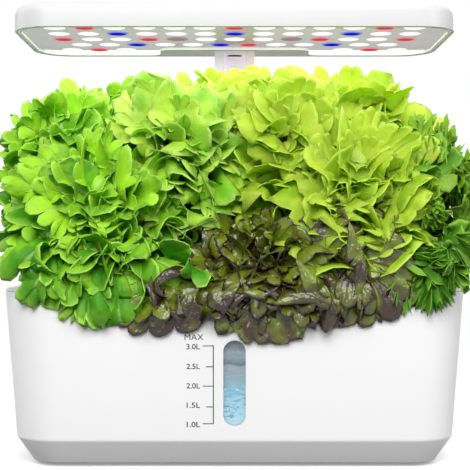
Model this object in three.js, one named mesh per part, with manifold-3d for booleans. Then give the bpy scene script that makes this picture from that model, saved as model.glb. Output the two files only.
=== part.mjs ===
// Countertop hydroponic garden: a tapering water tank with a window in its front wall, a lift-off
// deck with ten planting pods, a sliding mast behind them, and a flat lamp over the plants.
// Millimetres, +Z up, +X to the right seen from the front, -Y towards the front. The origin is
// on the surface that the feet stand on, under the middle of the garden.

import * as THREE from 'three';
import { mergeVertices } from 'three/addons/utils/BufferGeometryUtils.js';
import Module from 'manifold-3d';

// Driving dimensions of the whole garden
const tank_length = 286;
const tank_depth = 174;
const tank_height = 107.3;
const light_gap = 162.4;
const lamp_length = 281;
const lamp_width = 120;
const lamp_thickness = 16.2;
const mast_width = 27.7;
const mast_depth = 22;
const foliage_half_width = 154;
const foliage_half_depth = 95;

// Gaps between neighbours, and the overrun of every cut
const seat_gap = 0.3;
const slide_gap = 0.4;
const cut_over = 1;

// Tank
const tank_corner = 35;
const tank_wall = 2.6;
const tank_floor = 2.6;
const tank_draft = 7;
const chamfer_rise = 15.5;
const chamfer_run = 11;
const chamfer_round = 6;
const foot_rise = 2;
const foot_radius = 9;
const foot_pocket = 1;
const foot_margin = 24;
const foot_chamfer = 0.6;

// Water window in the front wall, clamped from behind on its seal
const window_width = 13.5;
const window_height = 52.3;
const window_low = 26.5;
const window_recess = 0.4;
const window_flange = 3.5;
const window_flange_thick = 1.5;
const seal_thick = 1;
const seal_margin = 0.5;

// Deck, with a locating skirt inside the tank's rim
const deck_thickness = 1.8;
const deck_edge_round = 0.8;
const skirt_height = 7;
const skirt_wall = 1.6;
const skirt_gap = 0.5;

// Planting pods
const pod_pitch = 68;
const front_row_setback = 27;
const rear_row_setback = 78;
const pods_in_rows = [3, 4, 3];
const basket_top_radius = 14.9;
const basket_bottom_radius = 11.5;
const basket_depth = 44;
const basket_wall = 1.3;
const basket_flange = 3.1;
const basket_flange_thick = 1.4;
const basket_slot_width = 5;
const basket_slot_margin = 7;
const pod_gap = 0.5;
const sponge_drop = 1;
const sponge_gap = 0.4;
const stem_radius = 2.2;
const stem_gap = 0.5;
const stem_depth = 8;

// Filling port with its hinged lid, at the right of the deck's rear edge
const port_length = 40;
const port_width = 21;
const port_corner = 5;
const port_side_margin = 27;
const port_rear_margin = 13.5;
const lid_overlap = 3;
const lid_thickness = 2;
const lid_finger_length = 12;
const lid_finger_reach = 2.5;
const hinge_offset = 5.5;
const hinge_pin_radius = 1.2;
const hinge_knuckle_radius = 2.7;
const hinge_ear_length = 4;
const lid_clearance = 4;

// Mast: a box rail that stands on the deck, and a C channel that slides up it
const mast_setback = 32;
const channel_wall = 2;
const lip_opening = 14.5;
const rail_wall = 1.6;
const rail_foot_thick = 2.4;
const rail_foot_margin = 4;
const pad_space = 1.8;
const pad_width = 12;
const pad_height = 20;
const channel_end_gap = 3;
const rail_end_gap = 3.8;
const channel_head = 2;
const lead_radius = 5;
const lead_hole_gap = 1;

// Housing round the mast's foot, with the circuit board and the power inlet
const hub_width = 48;
const hub_front_margin = 2.5;
const hub_rear_margin = 13;
const hub_height = 17;
const hub_wall = 2;
const hub_corner = 8;
const hub_edge_round = 3;
const board_thick = 1.6;
const board_length = 34;
const board_width = 13;
const board_rise = 3.3;
const board_post_radius = 2.2;
const board_post_inset = 3;
const chip_height = 2.2;
const chip_length = 7;
const chip_width = 6;
const jack_width = 9.6;
const jack_height = 9.1;
const jack_length = 14;
const jack_proud = 0.5;
const jack_bore_radius = 3.1;
const jack_bore_depth = 9.5;
const jack_pin_radius = 1;

// Circulation pump that hangs under the deck
const pump_length = 36;
const pump_depth = 26;
const pump_height = 28;
const pump_corner = 4;
const pump_floor_gap = 3.4;
const pump_front_margin = 3;
const volute_radius = 11.5;
const volute_depth = 7.5;
const rotor_radius = 6.9;
const rotor_length = 13;
const rotor_gap = 0.7;
const shaft_radius = 1;
const shaft_gap = 0.3;
const shaft_socket = 3;
const blade_count = 6;
const blade_thick = 1.4;
const blade_hub_radius = 3.6;
const blade_disc = 1.4;
const strainer_thick = 2;
const strainer_margin = 2;
const strainer_slots = 5;
const strainer_slot_width = 2.6;
const strainer_slot_margin = 4;
const riser_radius = 5;
const riser_bore = 3.4;
const riser_socket_wall = 2;
const riser_socket_depth = 8;
const riser_spout_radius = 2.2;
const riser_spout_drop = 14;
const pump_lead_radius = 1.5;
const pump_lead_hole_gap = 0.9;

// Lamp
const lamp_corner = 25;
const lamp_edge_round = 6;
const lamp_wall = 2.2;
const lamp_top_wall = 2.2;
const bezel_gap = 0.3;
const bezel_wall = 1.1;
const bezel_height = 2;
const notch_length = 105;
const notch_depth = 28;
const notch_corner = 8;
const led_board_thick = 1.6;
const led_board_lap = 0.7;
const led_radius = 7.25;
const led_height = 0.5;
const led_side_margin = 25.9;
const led_row_margin = 17.6;
const led_columns = 13;

// Button panel on top of the lamp
const button_pitch = 22;
const button_radius = 4.8;
const button_flange = 1.2;
const button_flange_thick = 1.2;
const button_proud = 1;
const button_gap = 0.3;
const button_travel = 1.2;
const button_front_margin = 24;
const button_board_width = 16;
const button_board_margin = 14;
const button_post_radius = 2.4;
const button_post_inset = 4;
const switch_radius = 2;
const switch_gap = 0.2;
const button_bed = 1.6;

// Numbers of facets and of steps on rounded forms
const round_sides = 24;
const pod_sides = 10;
const small_sides = 8;
const corner_steps = 5;
const edge_steps = 3;
const round_reach = 2;
const leaf_columns = 16;
const leaf_rows = 10;

// Heights and planes that several pieces share
const base_z = foot_rise;
const break_z = base_z + chamfer_rise;
const deck_bottom_z = tank_height + seat_gap;
const deck_top_z = deck_bottom_z + deck_thickness;
const pod_top_z = deck_top_z + seat_gap + basket_flange_thick;
const lamp_bottom_z = deck_top_z + light_gap;
const lamp_top_z = lamp_bottom_z + lamp_thickness;
const mast_rear_y = tank_depth / 2 - mast_setback;
const mast_front_y = mast_rear_y - mast_depth;
const hub_front_y = mast_front_y - hub_front_margin;
const hub_rear_y = tank_depth / 2 - hub_rear_margin;
const hub_top_z = deck_top_z + seat_gap + hub_height;

const library = await Module();
library.setup();

const finishes = {
  white_shell: { color: 0xf4f4f4, roughness: 0.4, metalness: 0 },
  white_inner: { color: 0xe9e9ec, roughness: 0.5, metalness: 0 },
  clear: { color: 0x9fd8ea, roughness: 0.1, metalness: 0 },
  rubber: { color: 0x2c2c2e, roughness: 0.9, metalness: 0 },
  basket_grey: { color: 0xd8d8d6, roughness: 0.6, metalness: 0 },
  sponge: { color: 0x6b5440, roughness: 1, metalness: 0 },
  steel: { color: 0xb8bac0, roughness: 0.3, metalness: 1 },
  mast_white: { color: 0xdcdce8, roughness: 0.45, metalness: 0 },
  board: { color: 0x9a9a9e, roughness: 0.6, metalness: 0 },
  circuit: { color: 0x1f5c3a, roughness: 0.5, metalness: 0 },
  black: { color: 0x232326, roughness: 0.6, metalness: 0 },
  leaf_green: { color: 0x6fb52a, roughness: 0.6, metalness: 0 },
  leaf_lime: { color: 0xaed136, roughness: 0.6, metalness: 0 },
  leaf_red: { color: 0x5c2a26, roughness: 0.6, metalness: 0 },
  leaf_dark: { color: 0x4f8f2a, roughness: 0.6, metalness: 0 },
};

const garden = new THREE.Group();

function addPiece(name, geometry, finish) {
  const piece = new THREE.Mesh(geometry, new THREE.MeshStandardMaterial(finishes[finish]));
  piece.name = name;
  garden.add(piece);
  return piece;
}

// Six times the volume that the triangles enclose, negative where they face inwards
function windingSum(geometry) {
  const points = geometry.getAttribute('position');
  const order = geometry.getIndex().array;
  const [a, b, c] = [new THREE.Vector3(), new THREE.Vector3(), new THREE.Vector3()];
  let sum = 0;
  for (let i = 0; i < order.length; i += 3) {
    a.fromBufferAttribute(points, order[i]);
    b.fromBufferAttribute(points, order[i + 1]);
    c.fromBufferAttribute(points, order[i + 2]);
    sum += a.dot(b.cross(c));
  }
  return sum;
}

// Joins the shared corners of a mesh and turns its faces outwards
function closed(geometry) {
  geometry.deleteAttribute('normal');
  geometry.deleteAttribute('uv');
  const merged = mergeVertices(geometry);
  if (windingSum(merged) < 0) {
    const order = merged.getIndex().array;
    for (let i = 0; i < order.length; i += 3) {
      [order[i], order[i + 1]] = [order[i + 1], order[i]];
    }
  }
  return merged;
}

function solidOf(geometry) {
  const vertProperties = Float32Array.from(geometry.getAttribute('position').array);
  const triVerts = Uint32Array.from(geometry.getIndex().array);
  return new library.Manifold(new library.Mesh({ numProp: 3, vertProperties, triVerts }));
}

function geometryOf(solid) {
  const mesh = solid.getMesh();
  const geometry = new THREE.BufferGeometry();
  geometry.setAttribute('position', new THREE.BufferAttribute(Float32Array.from(mesh.vertProperties), 3));
  geometry.setIndex(Array.from(mesh.triVerts));
  return geometry;
}

function join(first, ...others) {
  let solid = solidOf(first);
  for (const other of others) {
    solid = solid.add(solidOf(other));
  }
  return geometryOf(solid);
}

function cut(first, ...tools) {
  let solid = solidOf(first);
  for (const tool of tools) {
    solid = solid.subtract(solidOf(tool));
  }
  return geometryOf(solid);
}

// A box between two corners
function block(low, high) {
  const size = high.map((value, axis) => value - low[axis]);
  const box = new THREE.BoxGeometry(...size);
  box.translate(...low.map((value, axis) => value + size[axis] / 2));
  return closed(box);
}

// An upright round bar from one height to another
function bar(x, y, radius, low_z, high_z, sides = round_sides) {
  const cylinder = new THREE.CylinderGeometry(radius, radius, high_z - low_z, sides);
  cylinder.rotateX(Math.PI / 2);
  cylinder.translate(x, y, (low_z + high_z) / 2);
  return closed(cylinder);
}

// The same bar lying along X or along Y
function barAlongX(y, z, radius, low_x, high_x, sides = round_sides) {
  const cylinder = new THREE.CylinderGeometry(radius, radius, high_x - low_x, sides);
  cylinder.rotateZ(Math.PI / 2);
  cylinder.translate((low_x + high_x) / 2, y, z);
  return closed(cylinder);
}

function barAlongY(x, z, radius, low_y, high_y, sides = round_sides) {
  const cylinder = new THREE.CylinderGeometry(radius, radius, high_y - low_y, sides);
  cylinder.translate(x, (low_y + high_y) / 2, z);
  return closed(cylinder);
}

// Points of a polygon [x, y, radius] whose corners are rounded with arcs. An open path keeps its ends.
function rounded(corners, steps = corner_steps, open = false) {
  const points = [];
  corners.forEach(([x, y, radius], index) => {
    const corner = new THREE.Vector2(x, y);
    const at_end = open && (index === 0 || index === corners.length - 1);
    if (at_end || !radius) {
      points.push(corner);
      return;
    }
    const [before_x, before_y] = corners.at(index - 1);
    const [after_x, after_y] = corners[(index + 1) % corners.length];
    const inward = corner.clone().sub(new THREE.Vector2(before_x, before_y)).normalize();
    const outward = new THREE.Vector2(after_x, after_y).sub(corner).normalize();
    const side = Math.sign(inward.cross(outward));
    const turn = Math.acos(inward.dot(outward));
    const start = corner.clone().addScaledVector(inward, -radius * Math.tan(turn / 2));
    const centre = start.clone().add(new THREE.Vector2(-inward.y, inward.x).multiplyScalar(side * radius));
    for (let step = 0; step <= steps; step += 1) {
      points.push(start.clone().rotateAround(centre, side * turn * step / steps));
    }
  });
  return points;
}

function roundedRectangle(half_x, half_y, radius, steps = corner_steps) {
  return rounded([
    [half_x, half_y, radius], [-half_x, half_y, radius],
    [-half_x, -half_y, radius], [half_x, -half_y, radius],
  ], steps);
}

// A plate of an outline, with holes, from one height to another
function plate(points, low_z, high_z, holes = []) {
  const shape = new THREE.Shape(points);
  shape.holes = holes.map((hole) => new THREE.Path(hole));
  const body = new THREE.ExtrudeGeometry(shape, { depth: high_z - low_z, bevelEnabled: false });
  body.translate(0, 0, low_z);
  return closed(body);
}

function movedPoints(points, x, y) {
  return points.map((point) => new THREE.Vector2(point.x + x, point.y + y));
}

function circle(x, y, radius, sides) {
  const points = [];
  for (let side = 0; side < sides; side += 1) {
    const angle = 2 * Math.PI * side / sides;
    points.push(new THREE.Vector2(x + radius * Math.cos(angle), y + radius * Math.sin(angle)));
  }
  return points;
}

// A solid through rounded rectangles: profile holds [inset from the outline, height] pairs
function insetLoft(half_x, half_y, radius, profile) {
  const rings = profile.map(({ x: inset }) => (
    roundedRectangle(half_x - inset, half_y - inset, radius - inset)
  ));
  const count = rings[0].length;
  const position = [];
  const order = [];
  rings.forEach((ring, level) => {
    ring.forEach((point) => position.push(point.x, point.y, profile[level].y));
  });
  for (let level = 0; level + 1 < rings.length; level += 1) {
    for (let i = 0; i < count; i += 1) {
      const next = (i + 1) % count;
      const [a, b] = [level * count + i, level * count + next];
      order.push(a, b, b + count, a, b + count, a + count);
    }
  }
  [0, rings.length - 1].forEach((level) => {
    const centre = position.length / 3;
    position.push(0, 0, profile[level].y);
    for (let i = 0; i < count; i += 1) {
      const [a, b] = [level * count + i, level * count + (i + 1) % count];
      order.push(...(level === 0 ? [centre, b, a] : [centre, a, b]));
    }
  });
  const body = new THREE.BufferGeometry();
  body.setAttribute('position', new THREE.Float32BufferAttribute(position, 3));
  body.setIndex(order);
  return closed(body);
}

// A solid of revolution about an upright axis from a closed profile of [radius, height] pairs
function turned(profile, sides) {
  const points = profile.map(([radius, height]) => new THREE.Vector2(radius, height));
  const on_axis = profile[0][0] === 0 && profile.at(-1)[0] === 0;
  const body = new THREE.LatheGeometry(on_axis ? points : [...points, points[0]], sides);
  body.rotateX(Math.PI / 2);
  return closed(body);
}

function moved(geometry, x, y, z) {
  const copy = geometry.clone();
  copy.translate(x, y, z);
  return copy;
}

// How far the tank's outer wall stands in from the rim at a height above the chamfer
function wallInset(z) {
  return tank_draft * (tank_height - z) / (tank_height - break_z);
}

// The outer wall's line as [inset, height], from the base up to the rim
function tankOutline() {
  return rounded([
    [tank_draft + chamfer_run + chamfer_round, base_z, 0],
    [tank_draft + chamfer_run, base_z, chamfer_round],
    [tank_draft, break_z, chamfer_round],
    [0, tank_height, 0],
  ], edge_steps, true);
}

function tankHollow() {
  const floor_z = base_z + tank_floor;
  const floor_inset = tank_draft + chamfer_run * (1 - tank_floor / chamfer_rise) + tank_wall;
  const mouth_z = tank_height + cut_over;
  return insetLoft(tank_length / 2, tank_depth / 2, tank_corner, rounded([
    [floor_inset, floor_z, 0],
    [tank_draft + tank_wall, break_z, chamfer_round],
    [tank_wall + wallInset(mouth_z), mouth_z, 0],
  ], edge_steps, true));
}

// Places a piece made in the window's own frame: Y through the wall, Z up the wall's slope
function onFrontWall(geometry) {
  const middle_z = window_low + window_height / 2;
  const placed = geometry.clone();
  placed.rotateX(Math.atan(tank_draft / (tank_height - break_z)));
  placed.translate(0, wallInset(middle_z) - tank_depth / 2, middle_z);
  return placed;
}

// A slab with round ends, grown from the window's outline, from one depth in the wall to another
function windowSlab(grow, near, far, hole_grow = null) {
  const outlineAt = (extra) => {
    const half_x = window_width / 2 + extra;
    return roundedRectangle(half_x, window_height / 2 + extra, half_x);
  };
  const holes = hole_grow === null ? [] : [outlineAt(hole_grow)];
  const slab = plate(outlineAt(grow), near, far, holes);
  slab.rotateX(-Math.PI / 2);
  slab.scale(1, 1, -1);
  return closed(slab);
}

function footPlaces() {
  const x = tank_length / 2 - tank_draft - chamfer_run - foot_margin;
  const y = tank_depth / 2 - tank_draft - chamfer_run - foot_margin;
  return [[-x, -y], [x, -y], [-x, y], [x, y]];
}

function addTank() {
  const body = insetLoft(tank_length / 2, tank_depth / 2, tank_corner, tankOutline());
  const slot = onFrontWall(windowSlab(0, -cut_over, tank_wall + cut_over));
  const pockets = footPlaces().map(([x, y]) => (
    bar(x, y, foot_radius + seat_gap, base_z - cut_over, base_z + foot_pocket, pod_sides)
  ));
  addPiece('tank_shell', cut(body, tankHollow(), slot, ...pockets), 'white_shell');

  const seal_near = tank_wall + seat_gap;
  const flange_near = seal_near + seal_thick + seat_gap;
  const plug = windowSlab(-seat_gap, window_recess, flange_near + window_flange_thick / 2);
  const flange = windowSlab(window_flange, flange_near, flange_near + window_flange_thick);
  addPiece('water_window', onFrontWall(join(plug, flange)), 'clear');
  const seal = windowSlab(window_flange - seal_margin, seal_near, seal_near + seal_thick, 0);
  addPiece('window_seal', onFrontWall(seal), 'rubber');

  const foot_top = base_z + foot_pocket - seat_gap;
  const foot = turned([
    [0, 0], [foot_radius - foot_chamfer, 0], [foot_radius, foot_chamfer],
    [foot_radius, foot_top], [0, foot_top],
  ], pod_sides);
  footPlaces().forEach(([x, y], index) => {
    addPiece(`foot_${index + 1}`, moved(foot, x, y, 0), 'rubber');
  });
}

// The ten pods, row by row from the front and from left to right
function podPlaces() {
  const places = [];
  const row_pitch = (tank_depth - front_row_setback - rear_row_setback) / (pods_in_rows.length - 1);
  pods_in_rows.forEach((count, row) => {
    for (let i = 0; i < count; i += 1) {
      const x = (i - (count - 1) / 2) * pod_pitch;
      places.push({ x, y: front_row_setback - tank_depth / 2 + row * row_pitch });
    }
  });
  return places;
}

function portCentre() {
  return {
    x: tank_length / 2 - port_side_margin - port_length / 2,
    y: tank_depth / 2 - port_rear_margin - port_width / 2,
  };
}

function hingeAxis() {
  return {
    y: portCentre().y + port_width / 2 + hinge_offset,
    z: deck_top_z + seat_gap + hinge_knuckle_radius,
  };
}

function riserPlace() {
  return { x: riser_radius - volute_radius - seat_gap, y: pumpFront() + volute_depth / 2 };
}

function pumpLeadHole() {
  return { x: board_length / 4, y: boardFront() + board_width / 3 };
}

function addDeck() {
  const half_x = tank_length / 2;
  const half_y = tank_depth / 2;
  const edge = rounded([
    [0, deck_bottom_z, 0], [0, deck_top_z, deck_edge_round], [round_reach * deck_edge_round, deck_top_z, 0],
  ], 2, true);
  let deck = insetLoft(half_x, half_y, tank_corner, edge);

  const skirt_low_z = deck_bottom_z - skirt_height;
  const skirt_inset = tank_wall + skirt_gap;
  const skirt_line = [
    new THREE.Vector2(skirt_inset + wallInset(skirt_low_z), skirt_low_z),
    new THREE.Vector2(skirt_inset, deck_bottom_z + deck_thickness / 2),
  ];
  const skirt_hollow = [
    new THREE.Vector2(skirt_inset + skirt_wall + wallInset(skirt_low_z - cut_over), skirt_low_z - cut_over),
    new THREE.Vector2(skirt_inset + skirt_wall, deck_bottom_z),
  ];
  const skirt = cut(
    insetLoft(half_x, half_y, tank_corner, skirt_line),
    insetLoft(half_x, half_y, tank_corner, skirt_hollow),
  );

  const port = portCentre();
  const axis = hingeAxis();
  const ears = [-1, 1].map((side) => {
    const outer = port.x + side * port_length / 2;
    const inner = outer - side * hinge_ear_length;
    const [low_x, high_x] = [Math.min(outer, inner), Math.max(outer, inner)];
    const round = barAlongX(axis.y, axis.z, hinge_knuckle_radius, low_x, high_x, pod_sides);
    const root = block(
      [low_x, axis.y - hinge_knuckle_radius, deck_top_z - deck_thickness / 2],
      [high_x, axis.y + hinge_knuckle_radius, axis.z],
    );
    return join(round, root);
  });

  const riser = riserPlace();
  const socket = bar(
    riser.x, riser.y, riser_radius + seat_gap + riser_socket_wall,
    deck_bottom_z - riser_socket_depth, deck_bottom_z + deck_thickness / 2, pod_sides,
  );
  const posts = boardPosts().map(([x, y]) => (
    bar(x, y, board_post_radius, deck_top_z - deck_thickness / 2, deck_top_z + board_rise, small_sides)
  ));
  deck = join(deck, skirt, ...ears, socket, ...posts);

  const below = skirt_low_z - cut_over;
  const above = deck_top_z + cut_over;
  const pods = podPlaces().map(({ x, y }) => (
    bar(x, y, basket_top_radius + pod_gap, below, above, pod_sides)
  ));
  const port_outline = roundedRectangle(port_length / 2, port_width / 2, port_corner, edge_steps);
  const port_hole = plate(movedPoints(port_outline, port.x, port.y), below, above);
  const hole = pumpLeadHole();
  const lead_hole = bar(hole.x, hole.y, pump_lead_radius + pump_lead_hole_gap, below, above, small_sides);
  const pin_hole = barAlongX(
    axis.y, axis.z, hinge_pin_radius + seat_gap,
    port.x - port_length / 2 - cut_over, port.x + port_length / 2 + cut_over, small_sides,
  );
  const socket_hole = bar(
    riser.x, riser.y, riser_radius + seat_gap, below - riser_socket_depth, deck_bottom_z, pod_sides,
  );
  addPiece('grow_deck', cut(deck, ...pods, port_hole, lead_hole, pin_hole, socket_hole), 'white_shell');
}

function addFillLid() {
  const port = portCentre();
  const axis = hingeAxis();
  const half_x = port_length / 2;
  const low_z = deck_top_z + seat_gap;
  const front_y = port.y - port_width / 2 - lid_overlap;
  const rear_y = axis.y - hinge_knuckle_radius - seat_gap;
  const middle_y = (front_y + rear_y) / 2;
  const leaf = plate(
    movedPoints(
      roundedRectangle(half_x + lid_overlap, (rear_y - front_y) / 2, port_corner, edge_steps),
      port.x, middle_y,
    ),
    low_z, low_z + lid_thickness,
  );
  const knuckle_half = half_x - hinge_ear_length - seat_gap;
  const knuckle = barAlongX(
    axis.y, axis.z, hinge_knuckle_radius, port.x - knuckle_half, port.x + knuckle_half, pod_sides,
  );
  const neck = block(
    [port.x - knuckle_half, rear_y - lid_thickness, low_z],
    [port.x + knuckle_half, axis.y, low_z + lid_thickness],
  );
  const finger = block(
    [port.x - lid_finger_length / 2, front_y - lid_finger_reach, low_z],
    [port.x + lid_finger_length / 2, front_y + lid_finger_reach, low_z + lid_thickness],
  );
  const bore = barAlongX(
    axis.y, axis.z, hinge_pin_radius + seat_gap,
    port.x - half_x, port.x + half_x, small_sides,
  );
  addPiece('fill_lid', cut(join(leaf, neck, knuckle, finger), bore), 'white_shell');
  const pin = barAlongX(
    axis.y, axis.z, hinge_pin_radius, port.x - half_x, port.x + half_x, small_sides,
  );
  addPiece('lid_pin', pin, 'steel');
}

// A net pot with four tall slots, and the sponge plug in it with a hole for the stem
function addPods() {
  const flange_radius = basket_top_radius + basket_flange;
  const flange_z = deck_top_z + seat_gap;
  const floor_z = flange_z - basket_depth;
  const cup = turned([
    [0, floor_z], [basket_bottom_radius, floor_z], [basket_top_radius, flange_z],
    [flange_radius, flange_z], [flange_radius, pod_top_z], [basket_top_radius - basket_wall, pod_top_z],
    [basket_bottom_radius - basket_wall, floor_z + basket_wall], [0, floor_z + basket_wall],
  ], pod_sides);
  const slot_low = floor_z + basket_slot_margin;
  const slot_high = flange_z - basket_slot_margin;
  const half_slot = basket_slot_width / 2;
  const across = block([-flange_radius, -half_slot, slot_low], [flange_radius, half_slot, slot_high]);
  const along = block([-half_slot, -flange_radius, slot_low], [half_slot, flange_radius, slot_high]);
  const basket = cut(cup, across, along);

  const taper = (basket_top_radius - basket_bottom_radius) / basket_depth;
  const plug_low = floor_z + basket_wall + seat_gap;
  const plug_high = pod_top_z - sponge_drop;
  const plug_margin = basket_wall + sponge_gap;
  const plugRadius = (z) => basket_bottom_radius + taper * (z - floor_z - basket_wall) - plug_margin;
  const stem_hole = stem_radius + stem_gap;
  const sponge = turned([
    [stem_hole, plug_low], [plugRadius(plug_low), plug_low],
    [plugRadius(plug_high), plug_high], [stem_hole, plug_high],
  ], pod_sides);

  podPlaces().forEach(({ x, y }, index) => {
    addPiece(`basket_${index + 1}`, moved(basket, x, y, 0), 'basket_grey');
    addPiece(`sponge_${index + 1}`, moved(sponge, x, y, 0), 'sponge');
  });
}

// Each head's middle off its pod, its reach to either side, to the front and to the back as shares
// of the spacing of the pods, and its height, rise and drop as shares of the gap under the lamp
const head_shares = [
  { off: [-0.24, 0.06], sides: [0.92, 0.75], depth: [0.62, 0.4], height: 0.24, rise: 0.34, drop: 0.44 },
  { off: [0.2, 0], sides: [0.97, 1.08], depth: [0.6, 0.36], height: 0.08, rise: 0.235, drop: 0.27 },
  { off: [0.12, 0.09], sides: [0.78, 0.81], depth: [0.64, 0.36], height: 0.25, rise: 0.34, drop: 0.44 },
  { off: [-0.09, 0.02], sides: [0.66, 0.59], depth: [0.78, 0.75], height: 0.435, rise: 0.3, drop: 0.5 },
  { off: [0, -0.07], sides: [0.7, 0.64], depth: [0.66, 0.5], height: 0.48, rise: 0.36, drop: 0.38 },
  { off: [0.03, -0.04], sides: [0.7, 0.75], depth: [0.68, 0.5], height: 0.48, rise: 0.375, drop: 0.38 },
  { off: [0.18, -0.07], sides: [0.67, 0.58], depth: [0.82, 0.9], height: 0.31, rise: 0.38, drop: 0.44 },
  { off: [-0.06, 0.13], sides: [0.8, 0.78], depth: [0.58, 1.14], height: 0.49, rise: 0.35, drop: 0.4 },
  { off: [0.03, -0.13], sides: [0.7, 0.7], depth: [0.47, 0.39], height: 0.53, rise: 0.36, drop: 0.4 },
  { off: [0.15, -0.04], sides: [0.7, 0.86], depth: [0.58, 0.53], height: 0.49, rise: 0.35, drop: 0.4 },
];
const head_form_power = 2.8;
const head_lobes = 5;
const head_lobe_share = 0.06;

// The finish of each head, in the order of the pods
const head_finishes = [
  'leaf_green', 'leaf_red', 'leaf_lime',
  'leaf_green', 'leaf_green', 'leaf_lime', 'leaf_dark',
  'leaf_green', 'leaf_lime', 'leaf_lime',
];

// A pod with the middle and the reach of the head that grows in it
function headPlaces() {
  return podPlaces().map((pod, index) => {
    const { off, sides, depth, height, rise, drop } = head_shares[index];
    const middle = new THREE.Vector3(
      pod.x + off[0] * pod_pitch, pod.y + off[1] * pod_pitch, deck_top_z + height * light_gap,
    );
    const reach_x = sides.map((share) => share * pod_pitch);
    const reach_y = depth.map((share) => share * pod_pitch);
    const reach_z = [drop * light_gap, rise * light_gap];
    return { pod, index, middle, reaches: [reach_x, reach_y, reach_z] };
  });
}

// How far a head reaches in a direction: a rounded form with lobes, cut off by its limits
function headReach(direction, head, limits) {
  const sum = direction.toArray().reduce((total, part, axis) => {
    const [backward, forward] = head.reaches[axis];
    return total + Math.abs(part / (part > 0 ? forward : backward)) ** head_form_power;
  }, 0);
  const turn = Math.atan2(direction.y, direction.x);
  const flat = Math.hypot(direction.x, direction.y);
  const lobe = 1 + head_lobe_share * flat * Math.cos(head_lobes * turn + head.index);
  let reach = lobe * sum ** (-1 / head_form_power);
  for (const { normal, distance } of limits) {
    const along = normal.dot(direction);
    if (along > 0) {
      reach = Math.min(reach, distance / along);
    }
  }
  return reach;
}

// The planes that a head stays behind: half way to each other head, and the garden's own limits
function headLimits(head, heads) {
  const { middle, pod } = head;
  const limits = heads.filter((other) => other !== head).map((other) => {
    const way = other.middle.clone().sub(middle);
    return { distance: way.length() / 2 - seat_gap, normal: way.normalize() };
  });
  limits.push({ normal: new THREE.Vector3(1, 0, 0), distance: foliage_half_width - middle.x });
  limits.push({ normal: new THREE.Vector3(-1, 0, 0), distance: foliage_half_width + middle.x });
  limits.push({ normal: new THREE.Vector3(0, -1, 0), distance: foliage_half_depth + middle.y });
  limits.push({ normal: new THREE.Vector3(0, 1, 0), distance: rearLimit(pod) - middle.y });
  if (Math.abs(pod.x) > pod_pitch / 2) {
    const inward = new THREE.Vector3(-Math.sign(pod.x), 0, 0);
    limits.push({ normal: inward, distance: Math.abs(middle.x) - hub_width / 2 - seat_gap });
  }
  return limits;
}

// Behind the middle pods stands the mast, and behind the right ones the lid has to open
function rearLimit(pod) {
  if (pod.x > pod_pitch / 2) {
    return portCentre().y - port_width / 2 - lid_overlap - lid_clearance;
  }
  return pod.x < -pod_pitch / 2 ? foliage_half_depth : hub_front_y - seat_gap;
}

function headForm(head, heads) {
  const limits = headLimits(head, heads);
  const position = [];
  const order = [];
  const spot = (row, column) => {
    const rise = Math.PI * (row / leaf_rows - 1 / 2);
    const turn = 2 * Math.PI * column / leaf_columns;
    const direction = new THREE.Vector3(
      Math.cos(rise) * Math.cos(turn), Math.cos(rise) * Math.sin(turn), Math.sin(rise),
    );
    return direction.multiplyScalar(headReach(direction, head, limits)).add(head.middle);
  };
  position.push(...spot(0, 0).toArray());
  for (let row = 1; row < leaf_rows; row += 1) {
    for (let column = 0; column < leaf_columns; column += 1) {
      position.push(...spot(row, column).toArray());
    }
  }
  position.push(...spot(leaf_rows, 0).toArray());
  const last = position.length / 3 - 1;
  for (let column = 0; column < leaf_columns; column += 1) {
    const next = (column + 1) % leaf_columns;
    order.push(0, 1 + next, 1 + column);
    order.push(last, last - leaf_columns + column, last - leaf_columns + next);
    for (let row = 0; row + 2 < leaf_rows; row += 1) {
      const [a, b] = [1 + row * leaf_columns + column, 1 + row * leaf_columns + next];
      order.push(a, b, b + leaf_columns, a, b + leaf_columns, a + leaf_columns);
    }
  }
  const body = new THREE.BufferGeometry();
  body.setAttribute('position', new THREE.Float32BufferAttribute(position, 3));
  body.setIndex(order);
  return closed(body);
}

// The stem of a head, from its sponge up into its middle
function stemOf({ pod, middle }, grow = 0) {
  const low_z = pod_top_z - sponge_drop - stem_depth;
  return bar(pod.x, pod.y, stem_radius + grow, low_z, middle.z, small_sides);
}

function addPlants() {
  const half_x = tank_length / 2 + slide_gap;
  const half_y = tank_depth / 2 + slide_gap;
  const garden_floor = plate(
    roundedRectangle(half_x, half_y, tank_corner + slide_gap), -cut_over, pod_top_z + seat_gap,
  );
  const heads = headPlaces();
  heads.forEach((head, index) => {
    const other_stems = heads.filter((other) => other !== head).map((other) => stemOf(other, seat_gap));
    const form = cut(headForm(head, heads), garden_floor, ...other_stems);
    addPiece(`plant_${index + 1}`, join(form, stemOf(head)), head_finishes[index]);
  });
}

// The circuit board lies behind the mast, on two posts of the deck
function boardFront() {
  return mast_rear_y + channel_wall;
}

function boardPosts() {
  const x = board_length / 2 - board_post_inset;
  const y = boardFront() + board_width / 2;
  return [[-x, y], [x, y]];
}

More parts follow.
